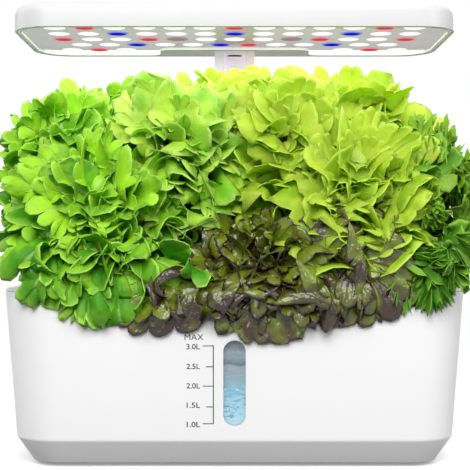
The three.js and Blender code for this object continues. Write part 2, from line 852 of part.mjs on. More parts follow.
function addHub() {
  const half_x = hub_width / 2;
  const half_y = (hub_rear_y - hub_front_y) / 2;
  const middle_y = (hub_rear_y + hub_front_y) / 2;
  const low_z = deck_top_z + seat_gap;
  const outer = insetLoft(half_x, half_y, hub_corner, rounded([
    [0, low_z, 0], [0, hub_top_z, hub_edge_round], [round_reach * hub_edge_round, hub_top_z, 0],
  ], edge_steps, true));
  const hollow = insetLoft(half_x - hub_wall, half_y - hub_wall, hub_corner - hub_wall, [
    new THREE.Vector2(0, low_z - cut_over), new THREE.Vector2(0, hub_top_z - hub_wall),
  ]);
  const rail = railSection(slide_gap);
  const rail_hole = block(
    [-rail.half_x, rail.front_y, low_z], [rail.half_x, rail.rear_y, hub_top_z + cut_over],
  );
  const jack_low_z = jackLow();
  const jack_hole = block(
    [-jack_width / 2 - seat_gap, hub_rear_y - hub_wall - cut_over, jack_low_z - seat_gap],
    [jack_width / 2 + seat_gap, hub_rear_y + cut_over, jack_low_z + jack_height + seat_gap],
  );
  const shell = cut(moved(outer, 0, middle_y, 0), moved(hollow, 0, middle_y, 0), rail_hole, jack_hole);
  addPiece('mast_hub', shell, 'white_shell');

  const board_low_z = deck_top_z + board_rise + seat_gap;
  const board_high_z = board_low_z + board_thick;
  const board = block(
    [-board_length / 2, boardFront(), board_low_z],
    [board_length / 2, boardFront() + board_width, board_high_z],
  );
  const chips = [-1, 1].map((side) => {
    const x = side * (board_length / 2 - chip_length);
    const y = boardFront() + board_width / 2;
    return block(
      [x - chip_length / 2, y - chip_width / 2, board_low_z],
      [x + chip_length / 2, y + chip_width / 2, board_high_z + chip_height],
    );
  });
  addPiece('hub_board', join(board, ...chips), 'circuit');

  const jack_rear_y = hub_rear_y + jack_proud;
  const jack_body = block(
    [-jack_width / 2, jack_rear_y - jack_length, jack_low_z],
    [jack_width / 2, jack_rear_y, jack_low_z + jack_height],
  );
  const jack_z = jack_low_z + jack_height / 2;
  const bore_front_y = jack_rear_y - jack_bore_depth;
  const bore = barAlongY(0, jack_z, jack_bore_radius, bore_front_y, jack_rear_y + cut_over, pod_sides);
  const pin = barAlongY(
    0, jack_z, jack_pin_radius, bore_front_y - cut_over, jack_rear_y - jack_proud, small_sides,
  );
  addPiece('power_jack', join(cut(jack_body, bore), pin), 'black');
}

function jackLow() {
  return deck_top_z + board_rise + seat_gap + board_thick + seat_gap;
}

// The rail's section inside the channel, grown by a gap where another piece has to clear it
function railSection(grow = 0) {
  return {
    half_x: mast_width / 2 - channel_wall - slide_gap + grow,
    front_y: mast_front_y + channel_wall + slide_gap - grow,
    rear_y: mast_rear_y - channel_wall - pad_space + grow,
  };
}

function sliderLow() {
  return hub_top_z + channel_end_gap;
}

function addMast() {
  const rail = railSection();
  const low_z = deck_top_z + seat_gap;
  const rail_top_z = lamp_bottom_z - rail_end_gap;
  const tube = block([-rail.half_x, rail.front_y, low_z], [rail.half_x, rail.rear_y, rail_top_z]);
  const foot = block(
    [-rail.half_x - rail_foot_margin, rail.front_y - slide_gap, low_z],
    [rail.half_x + rail_foot_margin, rail.rear_y, low_z + rail_foot_thick],
  );
  const tube_hollow = block(
    [-rail.half_x + rail_wall, rail.front_y + rail_wall, low_z - cut_over],
    [rail.half_x - rail_wall, rail.rear_y - rail_wall, rail_top_z + cut_over],
  );
  addPiece('mast_rail', cut(join(tube, foot), tube_hollow), 'mast_white');

  const slider_low_z = sliderLow();
  const slider_top_z = lamp_bottom_z - seat_gap;
  const half_x = mast_width / 2;
  const outer = block([-half_x, mast_front_y, slider_low_z], [half_x, mast_rear_y, slider_top_z]);
  const room = block(
    [channel_wall - half_x, mast_front_y + channel_wall, slider_low_z - cut_over],
    [half_x - channel_wall, mast_rear_y - channel_wall, slider_top_z - channel_head],
  );
  const slit = block(
    [-lip_opening / 2, mast_front_y - cut_over, slider_low_z - cut_over],
    [lip_opening / 2, mast_front_y + channel_wall + cut_over, slider_top_z - channel_head],
  );
  const lead_y = (rail.front_y + rail.rear_y) / 2;
  const lead_hole = bar(
    0, lead_y, lead_radius + lead_hole_gap, slider_top_z - channel_head - cut_over, slider_top_z + cut_over,
    pod_sides,
  );
  addPiece('mast_slider', cut(outer, room, slit, lead_hole), 'mast_white');

  const pad_front_y = rail.rear_y + seat_gap;
  const pad_rear_y = mast_rear_y - channel_wall - seat_gap;
  const pad = block(
    [-pad_width / 2, pad_front_y, slider_low_z + cut_over],
    [pad_width / 2, pad_rear_y, slider_low_z + cut_over + pad_height],
  );
  addPiece('friction_pad', pad, 'black');
  const lead = bar(0, lead_y, lead_radius, low_z + rail_foot_thick, slider_top_z, pod_sides);
  addPiece('lamp_lead', lead, 'black');
}

function pumpFront() {
  return mast_front_y + pump_front_margin;
}

function pumpLow() {
  return base_z + tank_floor + pump_floor_gap;
}

function rotorHeight() {
  return pumpLow() + pump_height / 2;
}

function addPump() {
  const front_y = pumpFront();
  const rear_y = front_y + pump_depth;
  const low_z = pumpLow();
  const high_z = low_z + pump_height;
  const axis_z = rotorHeight();
  const riser = riserPlace();
  const half_x = pump_length / 2;

  const case_outline = roundedRectangle(half_x, pump_depth / 2, pump_corner, edge_steps);
  const case_body = plate(movedPoints(case_outline, 0, (front_y + rear_y) / 2), low_z, high_z);
  const volute = barAlongY(0, axis_z, volute_radius, front_y - cut_over, front_y + volute_depth);
  const well_rear_y = front_y + volute_depth + rotor_length + rotor_gap;
  const well = barAlongY(0, axis_z, rotor_radius + rotor_gap, front_y, well_rear_y, pod_sides);
  const socket = barAlongY(
    0, axis_z, shaft_radius + shaft_gap, front_y, well_rear_y + shaft_socket, small_sides,
  );
  const outlet = bar(riser.x, riser.y, riser_bore, axis_z, high_z + cut_over, pod_sides);
  addPiece('pump_housing', cut(case_body, volute, well, socket, outlet), 'black');

  const strainer_rear_y = front_y - seat_gap;
  const strainer_half_x = half_x - strainer_margin;
  const strainer = block(
    [-strainer_half_x, strainer_rear_y - strainer_thick, low_z + strainer_margin],
    [strainer_half_x, strainer_rear_y, high_z - strainer_margin],
  );
  const slot_pitch = 2 * (strainer_half_x - strainer_margin) / strainer_slots;
  const half_slot = strainer_slot_width / 2;
  const slots = [];
  for (let i = 0; i < strainer_slots; i += 1) {
    const x = (i - (strainer_slots - 1) / 2) * slot_pitch;
    slots.push(block(
      [x - half_slot, strainer_rear_y - strainer_thick - cut_over, low_z + strainer_slot_margin],
      [x + half_slot, strainer_rear_y + cut_over, high_z - strainer_slot_margin],
    ));
  }
  addPiece('pump_strainer', cut(strainer, ...slots), 'black');

  const blade_front_y = front_y + rotor_gap;
  const blade_rear_y = front_y + volute_depth - blade_disc;
  const disc_rear_y = front_y + volute_depth - rotor_gap / 2;
  const blade_radius = volute_radius - rotor_gap;
  const blades = [];
  for (let i = 0; i < blade_count; i += 1) {
    const blade = block(
      [shaft_radius + shaft_gap, -blade_thick / 2, blade_front_y],
      [blade_radius, blade_thick / 2, blade_rear_y],
    );
    blade.rotateZ(2 * Math.PI * i / blade_count);
    blade.rotateX(-Math.PI / 2);
    blade.scale(1, 1, -1);
    blade.translate(0, 0, axis_z);
    blades.push(closed(blade));
  }
  const hub = barAlongY(0, axis_z, blade_hub_radius, blade_front_y, blade_rear_y + blade_disc / 2, pod_sides);
  const disc = barAlongY(0, axis_z, blade_radius, blade_rear_y - blade_disc / 2, disc_rear_y, round_sides);
  const magnet_rear_y = well_rear_y - rotor_gap;
  const magnet = barAlongY(0, axis_z, rotor_radius, blade_rear_y, magnet_rear_y, pod_sides);
  const bore = barAlongY(
    0, axis_z, shaft_radius + shaft_gap, front_y - cut_over, well_rear_y + cut_over, small_sides,
  );
  addPiece('pump_impeller', cut(join(magnet, disc, hub, ...blades), bore), 'white_inner');
  const shaft = barAlongY(
    0, axis_z, shaft_radius, front_y, well_rear_y + shaft_socket - seat_gap, small_sides,
  );
  addPiece('impeller_shaft', shaft, 'steel');

  const pipe_low_z = high_z + seat_gap;
  const pipe_high_z = deck_bottom_z - seat_gap;
  const pipe = turned([
    [riser_bore, pipe_low_z], [riser_radius, pipe_low_z],
    [riser_radius, pipe_high_z], [riser_bore, pipe_high_z],
  ], pod_sides);
  const spout_z = pipe_high_z - riser_spout_drop;
  const spout_front_y = riser.y - riser_radius - cut_over;
  const spout = barAlongY(riser.x, spout_z, riser_spout_radius, spout_front_y, riser.y, small_sides);
  addPiece('pump_riser', cut(moved(pipe, riser.x, riser.y, 0), spout), 'white_inner');

  const hole = pumpLeadHole();
  const lead_top_z = deck_top_z + board_rise;
  const lead_path = new THREE.CatmullRomCurve3([
    new THREE.Vector3(hole.x, rear_y - pump_corner, pipe_low_z),
    new THREE.Vector3(hole.x, rear_y - pump_corner, pipe_low_z + pump_height / 2),
    new THREE.Vector3(hole.x, hole.y, deck_bottom_z - pump_height / 2),
    new THREE.Vector3(hole.x, hole.y, lead_top_z),
  ]);
  const lead_section = new THREE.Shape(circle(0, 0, pump_lead_radius, small_sides));
  const lead = new THREE.ExtrudeGeometry(lead_section, {
    steps: pod_sides, bevelEnabled: false, extrudePath: lead_path,
  });
  addPiece('pump_lead', closed(lead), 'black');
}

// The opening under the lamp: a rounded rectangle with a step in at the middle of its rear side
function apertureOutline(grow) {
  const inset = lamp_wall + bezel_gap + bezel_wall - grow;
  const half_x = lamp_length / 2 - inset;
  const half_y = lamp_width / 2 - inset;
  const corner = lamp_corner - inset;
  const notch_x = notch_length / 2 - grow;
  const notch_y = lamp_width / 2 - notch_depth + grow;
  return rounded([
    [half_x, half_y, corner], [notch_x, half_y, notch_corner], [notch_x, notch_y, notch_corner],
    [-notch_x, notch_y, notch_corner], [-notch_x, half_y, notch_corner],
    [-half_x, half_y, corner], [-half_x, -half_y, corner], [half_x, -half_y, corner],
  ], edge_steps);
}

// The lights in five rows: three full rows, a staggered one, and one that leaves the notch free
const led_full_places = [-6, -5, -4, -3, -2, -1, 0, 1, 2, 3, 4, 5, 6];
const led_staggered_places = [-5.5, -4.5, -3.5, -2.5, -1.5, -0.5, 0.5, 1.5, 2.5, 3.5, 4.5, 5.5];
const led_outer_places = [-6, -5, -4, 4, 5, 6];
const led_rows = [
  led_full_places, led_full_places, led_full_places, led_staggered_places, led_outer_places,
];

function buttonPlaces() {
  const y = button_front_margin - lamp_width / 2;
  return [-1, 0, 1].map((place) => ({ x: place * button_pitch, y }));
}

function addLamp() {
  const half_x = lamp_length / 2;
  const half_y = lamp_width / 2;
  const ceiling_z = lamp_top_z - lamp_top_wall;
  const flange_top_z = ceiling_z - button_gap;
  const flange_low_z = flange_top_z - button_flange_thick;
  const board_top_z = flange_low_z - button_travel - switch_gap - button_bed / 2;
  const board_low_z = board_top_z - button_bed;

  const cover = insetLoft(half_x, half_y, lamp_corner, rounded([
    [0, lamp_bottom_z, 0], [0, lamp_top_z, lamp_edge_round], [round_reach * lamp_edge_round, lamp_top_z, 0],
  ], edge_steps + 1, true));
  const hollow_round = lamp_edge_round - lamp_wall;
  const hollow = insetLoft(half_x - lamp_wall, half_y - lamp_wall, lamp_corner - lamp_wall, rounded([
    [0, lamp_bottom_z - cut_over, 0], [0, ceiling_z, hollow_round],
    [round_reach * hollow_round, ceiling_z, 0],
  ], edge_steps, true));
  const button_holes = buttonPlaces().map(({ x, y }) => (
    bar(x, y, button_radius + button_gap, ceiling_z - cut_over, lamp_top_z + cut_over, pod_sides)
  ));
  const board_half_x = button_pitch + button_board_margin;
  const post_x = board_half_x - button_post_inset;
  const panel_y = buttonPlaces()[0].y;
  const posts = [-1, 1].map((side) => (
    bar(side * post_x, panel_y, button_post_radius, board_top_z + seat_gap, ceiling_z + cut_over, small_sides)
  ));
  addPiece('lamp_shell', join(cut(cover, hollow, ...button_holes), ...posts), 'white_shell');

  const bezel_inset = lamp_wall + bezel_gap;
  const bezel_top_z = lamp_bottom_z + bezel_height;
  const frame = plate(
    roundedRectangle(half_x - bezel_inset, half_y - bezel_inset, lamp_corner - bezel_inset),
    lamp_bottom_z, bezel_top_z, [apertureOutline(0)],
  );
  addPiece('lamp_bezel', frame, 'white_inner');

  const led_low_z = bezel_top_z + seat_gap;
  const led_plate = plate(apertureOutline(led_board_lap), led_low_z, led_low_z + led_board_thick);
  const led_pitch = (lamp_length - 2 * led_side_margin) / (led_columns - 1);
  const led_row_pitch = (lamp_width - 2 * led_row_margin) / (led_rows.length - 1);
  const lights = [];
  led_rows.forEach((places, row) => {
    const y = (row - (led_rows.length - 1) / 2) * led_row_pitch;
    places.forEach((place) => {
      lights.push(bar(
        place * led_pitch, y, led_radius,
        led_low_z - led_height, led_low_z + led_board_thick / 2, small_sides,
      ));
    });
  });
  addPiece('led_board', join(led_plate, ...lights), 'board');

  const button_board = block(
    [-board_half_x, panel_y - button_board_width / 2, board_low_z],
    [board_half_x, panel_y + button_board_width / 2, board_top_z],
  );
  const switches = buttonPlaces().map(({ x, y }) => (
    bar(x, y, switch_radius, board_top_z - button_bed / 2, board_top_z + button_bed / 2, small_sides)
  ));
  addPiece('button_board', join(button_board, ...switches), 'circuit');

  const flange_radius = button_radius + button_flange;
  const button = turned([
    [0, flange_low_z], [flange_radius, flange_low_z], [flange_radius, flange_top_z],
    [button_radius, flange_top_z], [button_radius, lamp_top_z + button_proud], [0, lamp_top_z + button_proud],
  ], pod_sides);
  const names = ['power_button', 'light_button', 'pump_button'];
  buttonPlaces().forEach(({ x, y }, index) => {
    addPiece(names[index], moved(button, x, y, 0), 'white_shell');
  });
}

addTank();
addDeck();
addFillLid();
addPods();
addPlants();
addHub();
addMast();
addPump();
addLamp();

export default garden;
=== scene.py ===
"""The looks of a countertop hydroponic garden, built round its fixed frame of solids.

Metres, +Z up, +X to the right seen from the front, -Y towards the front.
"""

import logging
import math
from collections.abc import Callable
from dataclasses import dataclass, replace
from enum import Enum

import bmesh
import bpy
import numpy as np
from mathutils import Matrix, Vector


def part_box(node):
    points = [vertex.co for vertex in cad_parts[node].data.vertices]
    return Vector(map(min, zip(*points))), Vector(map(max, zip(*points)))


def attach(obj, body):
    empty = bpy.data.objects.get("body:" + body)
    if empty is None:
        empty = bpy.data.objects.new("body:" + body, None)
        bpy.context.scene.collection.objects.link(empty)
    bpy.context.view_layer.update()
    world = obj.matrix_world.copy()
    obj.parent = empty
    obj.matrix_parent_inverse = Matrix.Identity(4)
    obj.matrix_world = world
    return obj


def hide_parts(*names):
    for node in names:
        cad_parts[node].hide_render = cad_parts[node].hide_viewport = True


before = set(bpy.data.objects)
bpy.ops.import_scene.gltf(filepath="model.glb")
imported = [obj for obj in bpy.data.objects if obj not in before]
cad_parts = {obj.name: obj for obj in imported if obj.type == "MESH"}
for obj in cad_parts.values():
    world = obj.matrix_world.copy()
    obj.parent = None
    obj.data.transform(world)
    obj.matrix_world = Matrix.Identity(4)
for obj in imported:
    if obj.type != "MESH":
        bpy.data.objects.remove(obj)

MM = 0.001
GOLDEN_ANGLE = math.radians(137.508)
LOG = logging.getLogger("garden")

Colour = tuple[float, float, float]
Array = np.ndarray
Random = np.random.Generator
Piece = bpy.types.Object
Node = bpy.types.Node
Socket = bpy.types.NodeSocket
Material = bpy.types.Material
World = bpy.types.World


class Body(Enum):
    """The bodies of the frame that pieces ride on."""

    TANK = "tank"
    DECK = "deck"
    FILL_LID = "fill_lid"
    IMPELLER = "impeller"
    LAMP = "lamp"
    POWER_BUTTON = "power_button"
    LIGHT_BUTTON = "light_button"
    PUMP_BUTTON = "pump_button"


class Slot(Enum):
    """The material slots of the frame."""

    WHITE_SHELL = "white_shell"
    WHITE_INNER = "white_inner"
    CLEAR = "clear"
    RUBBER = "rubber"
    BASKET = "basket_grey"
    SPONGE = "sponge"
    STEEL = "steel"
    MAST = "mast_white"
    BOARD = "board"
    CIRCUIT = "circuit"
    BLACK = "black"
    LEAF_GREEN = "leaf_green"
    LEAF_LIME = "leaf_lime"
    LEAF_RED = "leaf_red"
    LEAF_DARK = "leaf_dark"


def rounded_ring(half_x: float, half_y: float, radius: float, steps: int) -> Array:
    """A rectangle with round corners, anticlockwise: corner centres plus r (cos a, sin a).

    Args:
        half_x: half the length.
        half_y: half the width.
        radius: the corners' radius.
        steps: how many steps each corner's arc has.

    Returns:
        Points as [4 (steps + 1), 2].
    """
    radius = max(radius, 0.01 * MM)
    sweep = np.linspace(0, math.pi / 2, steps + 1)
    starts = np.arange(4) * math.pi / 2
    angle = (starts[:, None] + sweep[None, :]).ravel()
    centres = np.array([[1, 1], [-1, 1], [-1, -1], [1, -1]]) * np.array([half_x - radius, half_y - radius])
    arcs = np.stack([np.cos(angle), np.sin(angle)], 1) * radius
    return np.repeat(centres, steps + 1, axis=0) + arcs


def rounded_path(corners: list[tuple[float, float, float]], steps: int, closed: bool = False) -> Array:
    """A polygon whose corners are arcs that touch both sides: tangent length is r tan(turn / 2).

    Args:
        corners: (x, y, radius) of each corner; a radius of 0 keeps it sharp.
        steps: how many steps each arc has.
        closed: whether the last corner leads back to the first.

    Returns:
        Points as [n, 2].
    """
    spots = [np.array(corner[:2]) for corner in corners]
    made: list[Array] = []
    for index, (spot, (_, _, radius)) in enumerate(zip(spots, corners)):
        end = not closed and index in (0, len(spots) - 1)
        if end or radius <= 0:
            made.append(spot[None, :])
            continue
        before = spot - spots[index - 1]
        after = spots[(index + 1) % len(spots)] - spot
        before, after = before / np.linalg.norm(before), after / np.linalg.norm(after)
        turn = math.acos(float(np.clip(before @ after, -1, 1)))
        side = math.copysign(1, before[0] * after[1] - before[1] * after[0])
        normal = np.array([-before[1], before[0]]) * side
        start = spot - before * radius * math.tan(turn / 2)
        angle = np.linspace(0, turn, steps + 1)[:, None]
        made.append(start + normal * radius * (1 - np.cos(angle)) + before * radius * np.sin(angle))
    return np.concatenate(made)


def lofted(half_x: float, half_y: float, radius: float, profile: Array, steps: int) -> Array:
    """Rings of rounded rectangles: each is the outline moved in by the profile's inset at its height.

    Args:
        half_x: half the outline's length.
        half_y: half the outline's width.
        radius: the outline's corner radius.
        profile: [n, 2] of inset and height.
        steps: how many steps each corner's arc has.

    Returns:
        Points as [n, ring, 3].
    """
    rings = []
    for inset, height in profile:
        ring = rounded_ring(half_x - inset, half_y - inset, radius - inset, steps)
        rings.append(np.column_stack([ring, np.full(len(ring), height)]))
    return np.array(rings)


def revolved(profile: Array, steps: int) -> Array:
    """Rings about the Z axis: (r cos a, r sin a, z).

    Args:
        profile: [n, 2] of radius and height.
        steps: how many sides the round form has.

    Returns:
        Points as [n, steps, 3].
    """
    angle = np.linspace(0, 2 * math.pi, steps, endpoint=False)
    radius, height = profile[:, :1], profile[:, 1:]
    return np.stack([radius * np.cos(angle), radius * np.sin(angle), height + 0 * angle], -1)


def ring_faces(levels: int, count: int) -> Array:
    """Quads between rings that run anticlockwise and climb on the outside."""
    level, spot = np.mgrid[: levels - 1, :count]
    after = (spot + 1) % count
    low, high = level * count, (level + 1) * count
    return np.stack([low + spot, low + after, high + after, high + spot], -1).reshape(-1, 4)


def shell_faces(keep: Array, rows: int, columns: int) -> tuple[Array, Array]:
    """Faces of a closed shell between two grids of points, with walls where cells end.

    Args:
        keep: which cells are solid, as [rows or rows - 1, columns or columns - 1]; a full count wraps.
        rows: the grid's rows.
        columns: the grid's columns.

    Returns:
        The quads of both skins, and those of the walls between them.
    """
    row, column = np.mgrid[: keep.shape[0], : keep.shape[1]]
    row_after, column_after = (row + 1) % rows, (column + 1) % columns
    a, b = row * columns + column, row_after * columns + column
    c, d = row_after * columns + column_after, row * columns + column_after
    other = rows * columns
    outer = np.stack([a, b, c, d], -1)[keep]
    skins = np.concatenate([outer, outer[:, ::-1] + other])
    walls = []
    for axis, step, near, far in ((1, -1, a, b), (0, 1, b, c), (1, 1, c, d), (0, -1, d, a)):
        beside = np.roll(keep, -step, axis)
        wraps = keep.shape[axis] == (rows, columns)[axis]
        if not wraps:
            edge = [slice(None), slice(None)]
            edge[axis] = -1 if step > 0 else 0
            beside[tuple(edge)] = False
        open_side = keep & ~beside
        p, q = near[open_side], far[open_side]
        walls.append(np.stack([q, p, p + other, q + other], -1))
    return skins, np.concatenate(walls)


def linked(name: str, data: bpy.types.ID) -> Piece:
    """A new object in the scene that shows a mesh, a light, letters or a camera."""
    made = bpy.data.objects.new(name, data)
    bpy.context.scene.collection.objects.link(made)
    return made


def measured(node: str) -> tuple[Vector, Vector, Array]:
    """A node's lowest and highest corner, and the middle of its plan."""
    low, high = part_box(node)
    return low, high, np.array([(low.x + high.x) / 2, (low.y + high.y) / 2, 0])


def mesh_object(
    name: str, points: Array, faces: list[Array], flat: int = 0,
    uv: Array | None = None, tones: dict[str, Array] | None = None,
) -> Piece:
    """Puts whole arrays into a new mesh.

    Args:
        name: the piece's name.
        points: [n, 3] in metres.
        faces: arrays of [m, corners], which may differ in corners.
        flat: how many of the last faces are shaded flat.
        uv: [n, 2] of a point's place on the surface.
        tones: numbers for each point, by name.

    Returns:
        The linked object.
    """
    mesh = bpy.data.meshes.new(name)
    corners = np.concatenate([part.ravel() for part in faces]).astype(np.int32)
    totals = np.concatenate([np.full(len(part), part.shape[1]) for part in faces])
    starts = np.concatenate([[0], np.cumsum(totals)[:-1]]).astype(np.int32)
    mesh.vertices.add(len(points))
    mesh.vertices.foreach_set("co", np.asarray(points, np.float32).ravel())
    mesh.loops.add(len(corners))
    mesh.loops.foreach_set("vertex_index", corners)
    mesh.polygons.add(len(starts))
    mesh.polygons.foreach_set("loop_start", starts)
    smooth = np.ones(len(starts), bool)
    if flat:
        smooth[-flat:] = False
    mesh.update(calc_edges=True)
    mesh.polygons.foreach_set("use_smooth", smooth)
    if uv is not None:
        layer = mesh.uv_layers.new(name="surface")
        layer.data.foreach_set("uv", uv[corners].astype(np.float32).ravel())
    for tone, values in (tones or {}).items():
        attribute = mesh.attributes.new(tone, "FLOAT", "POINT")
        attribute.data.foreach_set("value", values.astype(np.float32).ravel())
    mesh.validate()
    return linked(name, mesh)


def ringed_object(name: str, rings: Array, angle: float = 35.0) -> Piece:
    """A closed piece from rings, with a flat cap on its first and its last ring.

    Args:
        name: the piece's name.
        rings: [levels, count, 3], climbing on the outside.
        angle: edges sharper than this, in degrees, stay crisp.

    Returns:
        The linked object.
    """
    levels, count = rings.shape[:2]
    first = np.arange(count)[::-1][None, :]
    last = np.arange(count)[None, :] + (levels - 1) * count
    made = mesh_object(name, rings.reshape(-1, 3), [ring_faces(levels, count), first, last])
    crisp(made, angle)
    return made


def crisp(piece: Piece, angle: float) -> None:
    """Shades a piece smooth, but for edges sharper than an angle in degrees."""
    mesh = piece.data
    mesh.shade_smooth()
    mesh.set_sharp_from_angle(angle=math.radians(angle))


def joined(name: str, pieces: list[Piece]) -> Piece:
    """One object from several, under the first one's materials."""
    with bpy.context.temp_override(active_object=pieces[0], selected_editable_objects=pieces):
        bpy.ops.object.join()
    pieces[0].name = name
    pieces[0].data.name = name
    return pieces[0]


def settled(piece: Piece) -> Piece:
    """Applies all modifiers of a piece to its mesh."""
    graph = bpy.context.evaluated_depsgraph_get()
    mesh = bpy.data.meshes.new_from_object(piece.evaluated_get(graph), depsgraph=graph)
    piece.modifiers.clear()
    piece.data = mesh
    return piece


def carved(piece: Piece, tools: list[Piece]) -> Piece:
    """Cuts closed tools out of a piece, and removes them."""
    for tool in tools:
        modifier = piece.modifiers.new("cut", "BOOLEAN")
        modifier.operation = "DIFFERENCE"
        modifier.solver = "EXACT"
        modifier.object = tool
    settled(piece)
    for tool in tools:
        bpy.data.objects.remove(tool)
    return piece


def softened(node: str, width: float, finish: "Finish", body: Body) -> Piece:
    """A copy of a node of the frame with its long edges rounded over in two steps.

    Args:
        node: the node's name.
        width: how wide each rounded edge is.
        finish: the copy's finish.
        body: the body that it rides on.

    Returns:
        The copy, which stands for the node.
    """
    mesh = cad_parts[node].data.copy()
    work = bmesh.new()
    work.from_mesh(mesh)
    bmesh.ops.remove_doubles(work, verts=work.verts, dist=0.002 * MM)
    bmesh.ops.dissolve_limit(
        work, angle_limit=math.radians(1), verts=work.verts, edges=work.edges, delimit=set()
    )
    work.to_mesh(mesh)
    work.free()
    made = linked(f"{node}_dressed", mesh)
    bevel = made.modifiers.new("edges", "BEVEL")
    bevel.width = width
    bevel.segments = 2
    bevel.limit_method = "ANGLE"
    bevel.angle_limit = math.radians(40)
    settled(made)
    crisp(made, 35)
    return placed(made, finish, body, node)


def placed(piece: Piece, finish: "Finish", body: Body, *nodes: str) -> Piece:
    """Dresses a piece, sets it on its body and hides the frame's nodes that it stands for.

    Args:
        piece: the finished mesh.
        finish: its finish.
        body: the body that it rides on.
        nodes: the frame's nodes that it stands for.

    Returns:
        The same piece.
    """
    piece.data.materials.clear()
    piece.data.materials.append(finish.material())
    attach(piece, body.value)
    if nodes:
        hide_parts(*nodes)
    LOG.info("%s: %d faces on %s", piece.name, len(piece.data.polygons), body.value)
    return piece


def repaint(node: str, finish: "Finish") -> None:
    """Gives a node of the frame, whose shape is right as it is, its finish."""
    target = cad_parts[node]
    target.data.materials.clear()
    target.data.materials.append(finish.material())
    LOG.info("%s keeps its own mesh", node)


def operator(kind: str, turned: bool = False) -> Callable[..., "Value"]:
    """Makes a method that puts a Math node on a value and what comes with it.

    Args:
        kind: the node's operation.
        turned: whether the value comes last.

    Returns:
        The method.
    """
    def method(self: "Value", *others: object) -> "Value":
        numbers = (*others, self) if turned else (self, *others)
        inputs = dict(enumerate(numbers))
        return Value(self.recipe, self.recipe.node("ShaderNodeMath", {"operation": kind}, inputs).outputs[0])

    return method


class Value:
    """A number from a node's socket, with the operators that the finishes use."""

    def __init__(self, recipe: "Recipe", socket: Socket) -> None:
        """Wraps a socket of a recipe."""
        self.recipe = recipe
        self.socket = socket

    __add__ = __radd__ = operator("ADD")
    __mul__ = __rmul__ = operator("MULTIPLY")
    __sub__ = operator("SUBTRACT")
    __rsub__ = operator("SUBTRACT", turned=True)
    __truediv__ = operator("DIVIDE")
    __pow__ = operator("POWER")
    sine = operator("SINE")
    size = operator("ABSOLUTE")

    def ramp(self, low: float, high: float) -> "Value":
        """0 below low, 1 above high, and a smooth step between them."""
        inputs = {"Value": self, "From Min": low, "From Max": high}
        made = self.recipe.node("ShaderNodeMapRange", {"interpolation_type": "SMOOTHSTEP"}, inputs)
        return Value(self.recipe, made.outputs["Result"])


